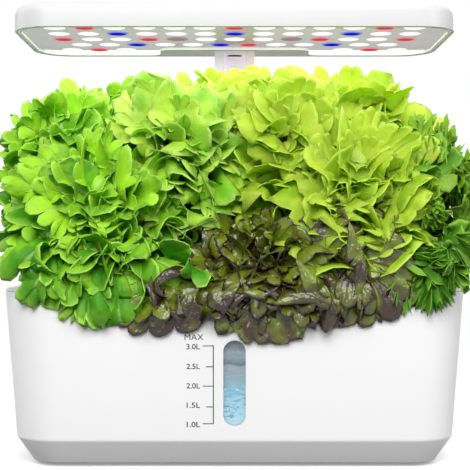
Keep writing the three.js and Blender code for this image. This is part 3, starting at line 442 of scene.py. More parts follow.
class Recipe:
    """The nodes of one material, or of the world."""

    def __init__(self, owner: Material | World) -> None:
        """Empties the owner's nodes."""
        owner.use_nodes = True
        self.owner = owner
        self.tree = owner.node_tree
        self.tree.nodes.clear()

    def node(self, kind: str, settings: dict | None = None, inputs: dict | None = None) -> Node:
        """Adds a node.

        Args:
            kind: the node's type.
            settings: its settings, set first; "stops" are a ramp's (place, colour) pairs.
            inputs: numbers, colours, sockets or values, by a socket's name, identifier or place.

        Returns:
            The node.
        """
        made = self.tree.nodes.new(kind)
        for key, value in (settings or {}).items():
            if key == "stops":
                self._stops(made.color_ramp, value)
            else:
                setattr(made, key, value)
        for key, value in (inputs or {}).items():
            if isinstance(key, int):
                socket = made.inputs[key]
            else:
                socket = next(s for s in made.inputs if key in (s.identifier, s.name))
            value = value.socket if isinstance(value, Value) else value
            if isinstance(value, Socket):
                self.tree.links.new(value, socket)
            elif isinstance(value, tuple) and len(value) == 3 and socket.type == "RGBA":
                socket.default_value = (*value, 1.0)
            else:
                socket.default_value = value
        return made

    @staticmethod
    def _stops(ramp: bpy.types.ColorRamp, stops: list[tuple[float, Colour]]) -> None:
        """Sets a ramp's stops."""
        while len(ramp.elements) < len(stops):
            ramp.elements.new(1.0)
        for element, (place, colour) in zip(ramp.elements, stops):
            element.position = place
            element.color = (*colour, 1.0)

    def place(self) -> Socket:
        """Where a point is on the object, in metres."""
        return self.node("ShaderNodeTexCoord").outputs["Object"]

    def parts(self, vector: Socket) -> tuple[Value, Value, Value]:
        """A vector's three numbers."""
        made = self.node("ShaderNodeSeparateXYZ", None, {"Vector": vector})
        return tuple(Value(self, socket) for socket in made.outputs)

    def surface(self) -> tuple[Value, Value]:
        """A point's place on its own surface, across and along."""
        across, along, _ = self.parts(self.node("ShaderNodeUVMap", {"uv_map": "surface"}).outputs["UV"])
        return across, along

    def tone(self, name: str) -> Value:
        """A number that the mesh carries."""
        made = self.node("ShaderNodeAttribute", {"attribute_name": name})
        return Value(self, made.outputs["Fac"])

    def noise(self, scale: float, detail: float = 3.0, rough: float = 0.5, vector: object = None) -> Value:
        """Clouds from 0 to 1; scale is in cells a metre."""
        inputs = {"Vector": vector or self.place(), "Scale": scale, "Detail": detail, "Roughness": rough}
        return Value(self, self.node("ShaderNodeTexNoise", None, inputs).outputs["Fac"])

    def mix(self, factor: object, first: object, second: object, blend: str = "MIX") -> Socket:
        """A colour between two."""
        settings = {"data_type": "RGBA", "blend_type": blend}
        inputs = {"Factor_Float": factor, "A_Color": first, "B_Color": second}
        made = self.node("ShaderNodeMix", settings, inputs)
        return next(s for s in made.outputs if s.identifier == "Result_Color")

    def bands(self, factor: Value, stops: list[tuple[float, Colour]]) -> Socket:
        """A colour from a ramp."""
        return self.node("ShaderNodeValToRGB", {"stops": stops}, {"Fac": factor}).outputs["Color"]

    def bump(self, height: Value, distance: float, strength: float = 1.0) -> Socket:
        """A normal from a height; distance is the height of 1, in metres."""
        inputs = {"Strength": strength, "Distance": distance, "Height": height}
        return self.node("ShaderNodeBump", None, inputs).outputs["Normal"]

    def principled(self, **inputs: object) -> Node:
        """The main shader, whose sockets are named with low lines for spaces."""
        named = {key.replace("_", " "): value for key, value in inputs.items()}
        return self.node("ShaderNodeBsdfPrincipled", None, named)

    def blend(self, factor: object, first: Node, second: Node) -> Node:
        """A shader between two."""
        inputs = {0: factor, 1: first.outputs[0], 2: second.outputs[0]}
        return self.node("ShaderNodeMixShader", None, inputs)

    def close(self, shader: Node) -> Material | World:
        """Joins a shader to the output."""
        kind = "Material" if isinstance(self.owner, Material) else "World"
        self.node(f"ShaderNodeOutput{kind}", None, {"Surface": shader.outputs[0]})
        return self.owner


@dataclass(frozen=True)
class Finish:
    """What all finishes share: a name and the frame's slot that they belong to."""

    name: str
    slot: Slot

    def material(self) -> Material:
        """The finish's material, made once."""
        known = bpy.data.materials.get(self.name)
        if known:
            return known
        recipe = Recipe(bpy.data.materials.new(self.name))
        return recipe.close(self.shader(recipe))

    def shader(self, recipe: Recipe) -> Node:
        """Makes the shader that the material ends with."""
        raise NotImplementedError


@dataclass(frozen=True)
class Plastic(Finish):
    """Moulded plastic with a fine spark-eroded grain."""

    colour: Colour = (0.9, 0.9, 0.9)
    roughness: float = 0.42
    grain: float = 0.02 * MM
    # Emission in the plastic's own colour: a painted glow, painted light on a part that is no lamp.
    painted_glow: float = 0.0

    def shader(self, recipe: Recipe) -> Node:
        """Colour drifts slowly, roughness and a fine bump follow the grain, and a painted glow in the
        plastic's own colour adds painted light.
        """
        cloud = recipe.noise(18.0, 2.0)
        dark = tuple(0.96 * channel for channel in self.colour)
        grain = recipe.noise(1400.0, 2.0, 0.6)
        return recipe.principled(
            Base_Color=recipe.mix(cloud, dark, self.colour),
            Roughness=self.roughness - 0.06 + 0.12 * grain,
            Normal=recipe.bump(grain, self.grain),
            Emission_Color=self.colour,
            Emission_Strength=self.painted_glow,
        )


@dataclass(frozen=True)
class Mottled(Finish):
    """Two colours in clouds or lines that also set the gloss: steel, sponge, ink or water."""

    first: Colour
    second: Colour
    cells: float
    detail: float = 2.0
    rough: float = 0.5
    contrast: tuple[float, float] | None = None
    roughness: float = 0.5
    uneven: float = 0.0
    metallic: float = 0.0
    depth: float = 0.0

    def shader(self, recipe: Recipe) -> Node:
        """Colour, roughness and height by one noise."""
        cloud = recipe.noise(self.cells, self.detail, self.rough)
        share = cloud.ramp(*self.contrast) if self.contrast else cloud
        relief = {"Normal": recipe.bump(cloud, self.depth)} if self.depth else {}
        return recipe.principled(
            Base_Color=recipe.mix(share, self.first, self.second),
            Metallic=self.metallic,
            Roughness=self.roughness + self.uneven * cloud if self.uneven else self.roughness,
            **relief,
        )


@dataclass(frozen=True)
class PaintedLitEdge(Finish):
    """A grey face painted white past an edge, where the lights would wash it: the white and its glow are
    painted light.
    """

    axis: int
    edge: float
    fade: tuple[float, float]
    grey: Colour
    strength: float
    cells: float
    rough: float
    mottle: float
    roughness: float
    uneven: float
    white: Colour = (0.92, 0.92, 0.93)

    def shader(self, recipe: Recipe) -> Node:
        """Painted white and glowing past the edge, as painted light; grey, softly mottled and faintly glowing
        before it.
        """
        painted_lit = (recipe.parts(recipe.place())[self.axis] - self.edge).ramp(*self.fade)
        cloud = recipe.noise(self.cells, 2.0, self.rough)
        grey = recipe.mix(cloud, tuple((1 - self.mottle) * c for c in self.grey), self.grey)
        return recipe.principled(
            Base_Color=recipe.mix(painted_lit, grey, self.white),
            Roughness=self.roughness + self.uneven * cloud,
            # A painted glow: white past the edge, dim grey before it.
            Emission_Color=recipe.mix(painted_lit, tuple(0.3 * c for c in self.grey), self.white),
            Emission_Strength=self.strength,
        )


@dataclass(frozen=True)
class Clear(Finish):
    """Clear moulded plastic: mostly see-through, with a gloss that grows at grazing angles."""

    tint: Colour = (0.94, 0.98, 1.0)
    gloss: float = 0.05

    def shader(self, recipe: Recipe) -> Node:
        """A transparent shader mixed with gloss by a Fresnel factor."""
        through = recipe.node("ShaderNodeBsdfTransparent", None, {"Color": self.tint})
        scratch = recipe.noise(300.0, 4.0)
        shine = recipe.principled(
            Base_Color=(1.0, 1.0, 1.0), Roughness=0.03 + 0.05 * scratch, Specular_IOR_Level=0.8
        )
        fresnel = Value(recipe, recipe.node("ShaderNodeFresnel", None, {"IOR": 1.46}).outputs[0])
        return recipe.blend(self.gloss + 0.6 * fresnel, through, shine)


@dataclass(frozen=True)
class Circuit(Finish):
    """A green circuit board with a web of tracks."""

    def shader(self, recipe: Recipe) -> Node:
        """Tracks are the borders of cells."""
        inputs = {"Vector": recipe.place(), "Scale": 420.0}
        cells = recipe.node("ShaderNodeTexVoronoi", {"feature": "DISTANCE_TO_EDGE"}, inputs)
        track = 1 - Value(recipe, cells.outputs["Distance"]).ramp(0.02, 0.06)
        return recipe.principled(
            Base_Color=recipe.mix(track, (0.012, 0.11, 0.05), (0.05, 0.25, 0.1)),
            Roughness=0.35 + 0.1 * track,
        )


@dataclass(frozen=True)
class Glow(Finish):
    """A lens over a light: a bright core, a pale ring and a grey edge, by the distance from its middle."""

    core: Colour
    ring: Colour
    core_share: float
    strength: float

    def shader(self, recipe: Recipe) -> Node:
        """Emission by a ramp over the lens's own radius."""
        edge = tuple(0.25 + 0.35 * c for c in self.ring)
        stops = [(0.0, self.core), (self.core_share, self.core), (0.88, self.ring), (1.0, edge)]
        light = recipe.bands(recipe.tone("radius"), stops)
        return recipe.principled(
            Base_Color=(0.02, 0.02, 0.02), Roughness=0.4, Specular_IOR_Level=0.0, Emission_Color=light,
            Emission_Strength=self.strength,
        )


@dataclass(frozen=True)
class SightWater(Finish):
    """Water seen through the window, its light and shade painted: ripples that turn pale, a painted dark line
    at the surface, painted grey and dark shade above it inside the tank, and a painted glow.
    """

    low: float = 26.5 * MM
    high: float = 78.8 * MM

    def shader(self, recipe: Recipe) -> Node:
        """A ramp over the height, which waves and clouds push up and down."""
        place = recipe.place()
        x, _, z = recipe.parts(place)
        cloud = recipe.noise(170.0, 3.0, 0.55, place)
        stretched = recipe.node("ShaderNodeMapping", None, {"Vector": place, "Scale": (1.0, 1.0, 3.2)})
        swirl = recipe.noise(210.0, 4.0, 0.6, stretched.outputs[0])
        share = (z - self.low) / (self.high - self.low)
        pushed = share + 0.05 * (cloud - 0.5) + 0.008 * (x * 420.0).sine()
        # Blue at the bottom that darkens and greys upward, a painted dark line at the surface, then painted
        # grey and dark shade above the water inside the tank.
        stops = [
            (0.0, (0.62, 0.88, 0.93)), (0.2, (0.5, 0.82, 0.9)), (0.4, (0.26, 0.6, 0.7)),
            (0.48, (0.25, 0.5, 0.56)), (0.58, (0.36, 0.38, 0.41)), (0.69, (0.36, 0.38, 0.4)),
            (0.71, (0.003, 0.045, 0.06)), (0.735, (0.01, 0.08, 0.1)), (0.775, (0.2, 0.27, 0.29)),
            (0.85, (0.3, 0.3, 0.31)), (0.9, (0.1, 0.105, 0.12)), (1.0, (0.05, 0.052, 0.06)),
        ]
        base = recipe.bands(pushed, stops)
        wet = 1 - share.ramp(0.42, 0.52)
        light = recipe.mix(wet * swirl.ramp(0.5, 0.66), base, (0.72, 0.95, 0.98))
        painted_water_look = recipe.mix(wet * (1 - swirl.ramp(0.32, 0.47)) * 0.9, light, (0.02, 0.2, 0.28))
        # Emission of the same colour: a painted glow on the water.
        return recipe.principled(
            Base_Color=painted_water_look, Roughness=0.12, Emission_Color=painted_water_look, Emission_Strength=0.3,
            Normal=recipe.bump(swirl, 0.7 * MM),
        )


@dataclass(frozen=True)
class Leaf(Finish):
    """Lettuce leaf: colour by age, by painted light that grows with height, and by place on the blade; pale
    ribs, puckers, and light through it.
    """

    heart: Colour = (0.46, 0.86, 0.03)
    blade: Colour = (0.05, 0.32, 0.005)
    margin: Colour = (0.52, 0.9, 0.12)
    rib: Colour = (0.55, 0.8, 0.25)
    through: Colour = (0.26, 0.72, 0.01)
    through_share: float = 0.24
    roughness: float = 0.45
    veins: float = 9.0
    vein_share: float = 0.07
    pucker: float = 0.6 * MM
    gloss: float = 0.22
    patches: float = 0.3

    def shader(self, recipe: Recipe) -> Node:
        """Side veins are where side * veins + along * 1.5 + cloud * 0.8 comes near a whole number."""
        across, along = recipe.surface()
        # The mesh's tone: the leaf's age, with painted light added by the height of its tip, and held low on
        # the inner layer as painted shade.
        age = recipe.tone("tone")
        side = (across * 2.0 - 1.0).size()
        cloud = recipe.noise(90.0, 3.0)
        fine = recipe.noise(420.0, 3.0, 0.6)
        wave = ((side * self.veins + along * 1.5 + cloud * 0.8) * math.pi).sine().size()
        vein = 1 - wave.ramp(0.0, 0.35)
        rib = 1 - side.ramp(0.015, 0.07)
        crinkle = recipe.noise(200.0, 2.0, 0.5)
        patch = recipe.noise(45.0, 2.0, 0.5).ramp(0.44, 0.56) * self.patches
        aged_and_painted_lit = recipe.mix((age + patch).ramp(0.0, 1.0), self.blade, self.heart)
        edge = along.ramp(0.55, 1.0) * 0.35 + along.ramp(0.93, 0.99) * 0.6 + 0.4 * (cloud - 0.5)
        body = recipe.mix(edge.ramp(0.0, 1.0), aged_and_painted_lit, self.margin)
        veined = recipe.mix(vein * self.vein_share * (1.15 - along), body, self.rib)
        ribbed = recipe.mix(rib * (1.15 - along) * 0.9, veined, self.rib)
        shade = 0.72 + 0.5 * cloud
        grey = recipe.node("ShaderNodeCombineColor", None, {0: shade, 1: shade, 2: shade}).outputs[0]
        leaf = recipe.principled(
            Base_Color=recipe.mix(1.0, ribbed, grey, "MULTIPLY"),
            Roughness=self.roughness + 0.2 * (fine - 0.5),
            Normal=recipe.bump(wave ** 0.5 * 0.3 + crinkle * 1.2 + fine * 0.3 - rib, self.pucker),
            Specular_IOR_Level=self.gloss,
        )
        glow = recipe.node("ShaderNodeBsdfTranslucent", None, {"Color": self.through})
        return recipe.blend(self.through_share, leaf, glow)


WHITE = Plastic("white_plastic", Slot.WHITE_SHELL, (0.9, 0.9, 0.9), 0.4)
# The lamp cover's white plastic, painted darker than the tank's: painted shade that holds down the stronger
# light the lamp gets.
LAMP_WHITE_PAINTED_SHADE = Plastic("lamp_plastic_painted_shade", Slot.WHITE_SHELL, (0.725, 0.725, 0.73), 0.4)
INNER = Plastic("inner_plastic", Slot.WHITE_INNER, (0.86, 0.86, 0.88), 0.45)
# The mast's white plastic, tinted lilac and glowing faintly: painted light from the grow lamp, which lifts it
# out of the key light's shadow.
MAST_PAINTED_LILAC_LIGHT = Plastic("mast_plastic", Slot.MAST, (0.88, 0.8, 0.92), 0.42, painted_glow=0.3)
BASKET = Plastic("basket_plastic", Slot.BASKET, (0.66, 0.66, 0.64), 0.55)
RUBBER = Plastic("foot_rubber", Slot.RUBBER, (0.025, 0.025, 0.027), 0.8, 0.05 * MM)
BLACK = Plastic("black_plastic", Slot.BLACK, (0.03, 0.03, 0.032), 0.5)
BUBBLE = Plastic("bubble_ring", Slot.CLEAR, (0.12, 0.45, 0.55), 0.15)
# The light board's grey face, with a painted band of light in white past y = 44.5 mm and a faint painted glow
# over all of it.
BOARD = PaintedLitEdge(
    "board_face", Slot.BOARD, axis=1, edge=44.5 * MM, fade=(0.0, 1.5 * MM), grey=(0.36, 0.3, 0.35),
    strength=0.6, cells=60.0, rough=0.5, mottle=0.1, roughness=0.1, uneven=0.06,
)
# The bezel, white plastic: grey on its flange below the edge as painted shade where it faces down, and white
# with a glow on the lip above as painted light from the lights.
FRAME = PaintedLitEdge(
    "lamp_frame", Slot.WHITE_INNER, axis=2, edge=271.8 * MM, fade=(0.15 * MM, 0.35 * MM),
    grey=(0.5, 0.44, 0.52), strength=0.62, cells=1400.0, rough=0.6, mottle=0.0, roughness=0.4, uneven=0.1,
)
STEEL = Mottled(
    "pin_steel", Slot.STEEL, (0.55, 0.56, 0.58), (0.4675, 0.476, 0.493), 2500.0,
    roughness=0.22, uneven=0.2, metallic=1.0,
)
SPONGE = Mottled(
    "sponge_foam", Slot.SPONGE, (0.11, 0.07, 0.045), (0.242, 0.154, 0.099), 900.0, 4.0, 0.7,
    contrast=(0.35, 0.65), roughness=0.9, depth=0.6 * MM,
)
INK = Mottled("scale_ink", Slot.BLACK, (0.006, 0.006, 0.007), (0.021, 0.021, 0.022), 1500.0, 3.0)
WATER = Mottled(
    "still_water", Slot.CLEAR, (0.25, 0.5, 0.56), (0.45, 0.68, 0.72), 60.0, roughness=0.05, depth=2 * MM,
)
CLEAR = Clear("window_clear", Slot.CLEAR)
SIGHT_WATER = SightWater("sight_water", Slot.CLEAR)
CIRCUIT = Circuit("circuit_face", Slot.CIRCUIT)


@dataclass
class Studio:
    """Camera, floor, backdrop and light."""

    distance: float = 0.805
    height: float = 0.136
    lens: float = 91.9
    sensor: float = 36.0
    shift_x: float = 0.001
    shift_y: float = 0.0213
    world_strength: float = 0.29
    floor_glow: float = 0.3
    floor_half: float = 6.0
    pure: Colour = (1.0, 1.0, 1.0)
    lights: tuple[tuple, ...] = (
        ("key", (-0.5, -3.0, 2.0), (0, 0, 0.12), 2.2, 124.0, 1.0),
        ("fill", (2.4, -1.9, 1.2), (0, 0, 0.12), 1.8, 36.0, 1.0),
        ("rear", (0.9, 3.0, 1.6), (0, 0, 0.12), 2.2, 70.0, 1.0),
        ("left", (-3.0, 0.8, 1.2), (0, 0, 0.12), 1.8, 22.0, 1.0),
        ("grow", (0.0, -0.025, 0.2705), (0, -0.025, 0), 0.06, 0.13, 4.2),
    )

    def camera(self) -> None:
        """Looks level along +Y."""
        data = bpy.data.cameras.new("camera")
        data.lens = self.lens
        data.sensor_width = self.sensor
        data.shift_x = self.shift_x
        data.shift_y = self.shift_y
        data.clip_start = 0.01
        camera = linked("camera", data)
        camera.location = (0, -self.distance, self.height)
        camera.rotation_euler = (math.pi / 2, 0, 0)
        bpy.context.scene.camera = camera

    def seen(self, recipe: Recipe) -> Value:
        """1 for rays from the camera, a mirror or glass, and 0 for light on the object."""
        path = recipe.node("ShaderNodeLightPath")
        camera, mirror, glass = (
            Value(recipe, path.outputs[f"Is {kind} Ray"]) for kind in ("Camera", "Glossy", "Transmission")
        )
        return (camera + mirror + glass).ramp(0.0, 0.5)

    def floor(self) -> None:
        """A floor that throws little light, but is near white to the eye and keeps the shadow."""
        recipe = Recipe(bpy.data.materials.new("floor"))
        cloud = recipe.noise(3.0)
        matt = {"Roughness": 0.8, "Specular_IOR_Level": 0.0}
        dark = recipe.principled(
            Base_Color=recipe.mix(cloud, (0.02, 0.02, 0.02), (0.03, 0.03, 0.03)), **matt
        )
        pale = recipe.principled(
            Base_Color=recipe.mix(cloud, (0.86, 0.86, 0.86), (0.9, 0.9, 0.9)), **matt,
            Emission_Color=self.pure, Emission_Strength=self.floor_glow,
        )
        white = recipe.node("ShaderNodeEmission", None, {"Color": self.pure, "Strength": 1.0})
        x, y, _ = recipe.parts(recipe.place())
        away = ((x * x + y * y) ** 0.5).ramp(0.3, 0.9)
        material = recipe.close(recipe.blend(self.seen(recipe), dark, recipe.blend(away, pale, white)))
        corners = self.floor_half * np.array([[-1, -1, 0], [1, -1, 0], [1, 1, 0], [-1, 1, 0]], float)
        floor = mesh_object("floor", corners, [np.array([[0, 1, 2, 3]])])
        floor.data.materials.append(material)

    def world(self) -> None:
        """White to the eye, and a plain grey-white light on the object."""
        recipe = Recipe(bpy.data.worlds.new("world"))
        light, white = (
            recipe.node("ShaderNodeBackground", None, {"Color": self.pure, "Strength": strength})
            for strength in (self.world_strength, 1.0)
        )
        bpy.context.scene.world = recipe.close(recipe.blend(self.seen(recipe), light, white))

    def lamp(self, name: str, place: tuple, aim: tuple, size: float, power: float, stretch: float) -> None:
        """A soft light at a place, turned to a point.

        Args:
            name: its name.
            place: where it stands.
            aim: the point that it looks at.
            size: its width.
            power: in watts.
            stretch: its length along X as a multiple of its width.
        """
        data = bpy.data.lights.new(name, "AREA")
        data.shape = "RECTANGLE"
        data.size = size * stretch
        data.size_y = size
        data.energy = power
        light = linked(name, data)
        light.rotation_euler = (Vector(aim) - Vector(place)).to_track_quat("-Z", "Y").to_euler()
        light.location = place

    def build(self) -> None:
        """Sets up all of it."""
        self.camera()
        self.floor()
        self.world()
        for light in self.lights:
            self.lamp(*light)
        bpy.context.scene.view_settings.view_transform = "Standard"


@dataclass
class Tank:
    """The tapering tank with its chamfered base, window, seal, feet, water and printed scale."""

    length: float = 286 * MM
    depth: float = 174 * MM
    rim: float = 107.3 * MM
    corner: float = 35 * MM
    wall: float = 2.6 * MM
    draft: float = 7 * MM
    base: float = 2 * MM
    rise: float = 15.5 * MM
    run: float = 11 * MM
    fold: float = 4 * MM
    gap: float = 0.3 * MM
    corner_steps: int = 20
    window_width: float = 13.5 * MM
    window_height: float = 52.3 * MM
    window_low: float = 26.5 * MM
    pane: tuple[float, ...] = (-0.15 * MM, 0.4 * MM, 4.9 * MM, 0.4 * MM)
    flange: tuple[float, ...] = (3.5 * MM, 4.2 * MM, 5.7 * MM, 0.3 * MM)
    view: tuple[float, ...] = (2.5 * MM, 5.9 * MM, 8.5 * MM)
    water_level: float = 64.5 * MM
    pads: int = 4
    pixel: float = 0.6008 * MM
    picture_middle: float = 234.5
    picture_window_low: float = 426.4
    picture_window_height: float = 86.5
    ink_lift: float = 0.03 * MM
    ink_thick: float = 0.06 * MM
    words: tuple[tuple, ...] = (
        ("MAX", 184.6, 203.6, 336.7, 5.9, 0.0),
        *((f"{litres}L", 186.4, 199.9, middle, 5.5, 0.012) for litres, middle in (
            (3.0, 346.2), (2.5, 366.0), (2.0, 385.5), (1.5, 405.0), (1.0, 424.5),
        )),
    )
    long_ticks: tuple[float, ...] = (345.5, 385.8, 423.7)
    short_ticks: tuple[float, ...] = (366.4, 406.7)
    tick_half: float = 0.45
    bubble_places: tuple[tuple, ...] = (
        ((-1.2, 5.7, -17.4), 2.2, 0.22, 0.72), ((-2.0, 5.7, -14.6), 1.5, 0.12, 0.6),
        ((1.9, 5.7, 14.2), 1.4, 0.3, 0.4), ((3.1, 5.7, -8.0), 0.8, 0.14, 0.8),
    )

    def inset(self, z: float) -> float:
        """How far the wall stands in from the rim at a height above the chamfer."""
        return self.draft * (self.rim - z) / (self.rim - self.base - self.rise)

    def lean(self) -> Matrix:
        """Places the window's own frame, with Y through the wall and Z up its slope."""
        middle = self.window_low + self.window_height / 2
        angle = math.atan(self.draft / (self.rim - self.base - self.rise))
        spot = (0, self.inset(middle) - self.depth / 2, middle)
        return Matrix.Translation(spot) @ Matrix.Rotation(angle, 4, "X")

    def stadium(self, name: str, grow: float, near: float, far: float, edge: float = 0.0) -> Piece:
        """A slab with round ends in the wall's own frame, from one depth to another.

        Args:
            name: the piece's name.
            grow: how far it stands out from the window's outline.
            near: its front, behind the wall's outer face.
            far: its back.
            edge: the rounding of its front edge.

        Returns:
            The slab, placed.
        """
        half_x, half_z = self.window_width / 2 + grow, self.window_height / 2 + grow
        profile = rounded_path([(0, -far, 0), (0, -near, edge), (2 * edge + 0.01 * MM, -near, 0)], 4)
        rings = lofted(half_x, half_z, half_x - 0.02 * MM, profile, 16)
        points = np.stack([rings[..., 0], -rings[..., 2], rings[..., 1]], -1)
        made = ringed_object(name, points)
        made.data.transform(self.lean())
        return made

    def shell(self) -> None:
        """The wall: outside up to the rim, over it, and down inside to the floor."""
        outer = rounded_path([
            (self.draft + self.run + self.fold, self.base, 0), (self.draft + self.run, self.base, 2.5 * MM),
            (self.draft, self.base + self.rise, self.fold), (0, self.rim, 0.5 * MM),
            (self.wall, self.rim, 0.5 * MM),
            (self.draft + self.wall, self.base + self.rise, self.fold),
            (self.draft + self.run + self.wall, self.base + self.wall, self.fold),
            (self.draft + self.run + self.wall + self.fold, self.base + self.wall, 0),
        ], 6)
        rings = lofted(self.length / 2, self.depth / 2, self.corner, outer, self.corner_steps)
        tank = ringed_object("tank_body", rings)
        slot = self.stadium("slot_tool", 0.0, -2 * MM, self.wall + 2 * MM)
        carved(tank, [slot])
        crisp(tank, 30)
        placed(tank, WHITE, Body.TANK, "tank_shell")

    def window(self) -> None:
        """The clear pane in the slot, its flange and its seal."""
        pane = self.stadium("window_pane", *self.pane)
        flange = self.stadium("window_flange", *self.flange)
        placed(joined("window_clear_piece", [pane, flange]), CLEAR, Body.TANK, "water_window")
        repaint("window_seal", RUBBER)
        placed(self.stadium("window_water", *self.view), SIGHT_WATER, Body.TANK)

    def bubbles(self) -> None:
        """Rings of air behind the pane, each a flattened torus by two angles."""
        made = []
        sides, turns = 28, 10
        around, over = np.meshgrid(*(
            np.linspace(0, 2 * math.pi, count, endpoint=False) for count in (sides, turns)
        ), indexing="ij")
        row, column = np.mgrid[:sides, :turns]
        row_after, column_after = (row + 1) % sides * turns, (column + 1) % turns
        quads = np.stack([
            row * turns + column, row * turns + column_after, row_after + column_after, row_after + column,
        ], -1).reshape(-1, 4)
        for place, size, thin, flat in self.bubble_places:
            reach = size + thin * np.cos(over)
            points = np.stack([
                reach * np.cos(around) + place[0], place[1] - thin * np.sin(over),
                flat * reach * np.sin(around) + place[2],
            ], -1) * MM
            made.append(mesh_object("bubble", points.reshape(-1, 3), [quads]))
        bubble = joined("window_bubbles", made)
        bubble.data.transform(self.lean())
        placed(bubble, BUBBLE, Body.TANK)

    def water(self) -> None:
        """Still water that fills the tank to its level."""
        clear = self.wall + self.gap
        path = rounded_path([
            (self.draft + self.run + clear + self.fold, self.base + clear, 0),
            (self.draft + self.run + clear, self.base + clear, 2 * MM),
            (self.draft + clear + 4 * MM, self.base + self.rise, self.fold),
            (self.inset(self.water_level) + clear + 4 * MM, self.water_level, 0),
            (self.inset(self.water_level) + clear + 6 * MM, self.water_level - 0.3 * MM, 0),
        ], 3)
        rings = lofted(self.length / 2, self.depth / 2, self.corner, path, 12)
        placed(ringed_object("tank_water", rings), WATER, Body.TANK)

    def feet(self) -> None:
        """Four pads with a rounded lower edge."""
        hole = 0.4 * MM
        for index in range(1, self.pads + 1):
            low, high, middle = measured(f"foot_{index}")
            radius = (high.x - low.x) / 2
            profile = rounded_path([
                (hole, low.z, 0), (radius, low.z, 0.6 * MM), (radius, high.z, 0), (hole, high.z, 0)
            ], 4)
            rings = revolved(profile, 36) + middle
            placed(ringed_object(f"foot_pad_{index}", rings), RUBBER, Body.TANK, f"foot_{index}")

    def scale(self) -> None:
        """The printed water scale: words and numbers in litres, a line and its ticks, on the sloping wall."""
        parts = [self.word(*word) for word in self.words]
        half = self.tick_half
        bars = [(212.8, 345.0, 213.8, 424.2)]
        bars += [(202.6, y - half, 213.2, y + half) for y in self.long_ticks]
        bars += [(206.0, y - half, 213.2, y + half) for y in self.short_ticks]
        for left, high, right, low in bars:
            corners = np.array([
                self.spot(x, y, lift) for lift in (self.ink_lift, self.ink_lift + self.ink_thick)
                for x, y in ((left, low), (right, low), (right, high), (left, high))
            ])
            sides = np.array([
                [0, 1, 5, 4], [1, 2, 6, 5], [2, 3, 7, 6], [3, 0, 4, 7], [3, 2, 1, 0], [4, 5, 6, 7],
            ])
            parts.append(mesh_object("tick", corners, [sides], flat=6))
        placed(joined("water_scale", parts), INK, Body.TANK)

    def spot(self, picture_x: Array, picture_y: Array, lift: Array) -> Array:
        """Where points of the picture lie on the front wall, lifted off it."""
        x = (picture_x - self.picture_middle) * self.pixel
        up = (self.picture_window_low - picture_y) * self.window_height / self.picture_window_height
        z = self.window_low + up
        return np.stack([x, self.inset(z) - self.depth / 2 - lift, z], -1)

    def word(
        self, text: str, left: float, right: float, middle: float, tall: float, weight: float,
    ) -> Piece:
        """A word as a thin mesh, stretched to its width and height in the picture.

        Args:
            text: the word.
            left: its left end in the picture.
            right: its right end.
            middle: its middle height.
            tall: how tall its capitals are.
            weight: how far its outlines are grown, as a share of the letters' size.

        Returns:
            The word on the wall.
        """
        curve = bpy.data.curves.new("word", "FONT")
        curve.body = text
        curve.extrude = 0.01
        curve.offset = weight
        curve.resolution_u = 4
        letters = linked("word", curve)
        graph = bpy.context.evaluated_depsgraph_get()
        mesh = bpy.data.meshes.new_from_object(letters.evaluated_get(graph), depsgraph=graph)
        bpy.data.objects.remove(letters)
        points = np.zeros(len(mesh.vertices) * 3, np.float32)
        mesh.vertices.foreach_get("co", points)
        points = points.reshape(-1, 3)
        low, high = points.min(0), points.max(0)
        share = (points - low) / np.maximum(high - low, 1e-9)
        x = left + share[:, 0] * (right - left)
        y = middle + tall / 2 - share[:, 1] * tall
        places = self.spot(x, y, self.ink_lift + self.ink_thick * share[:, 2])
        mesh.vertices.foreach_set("co", places.astype(np.float32).ravel())
        mesh.update()
        return linked("word", mesh)

    def build(self) -> None:
        """Makes the whole tank."""
        self.shell()
        self.window()
        self.bubbles()
        self.water()
        self.feet()
        self.scale()


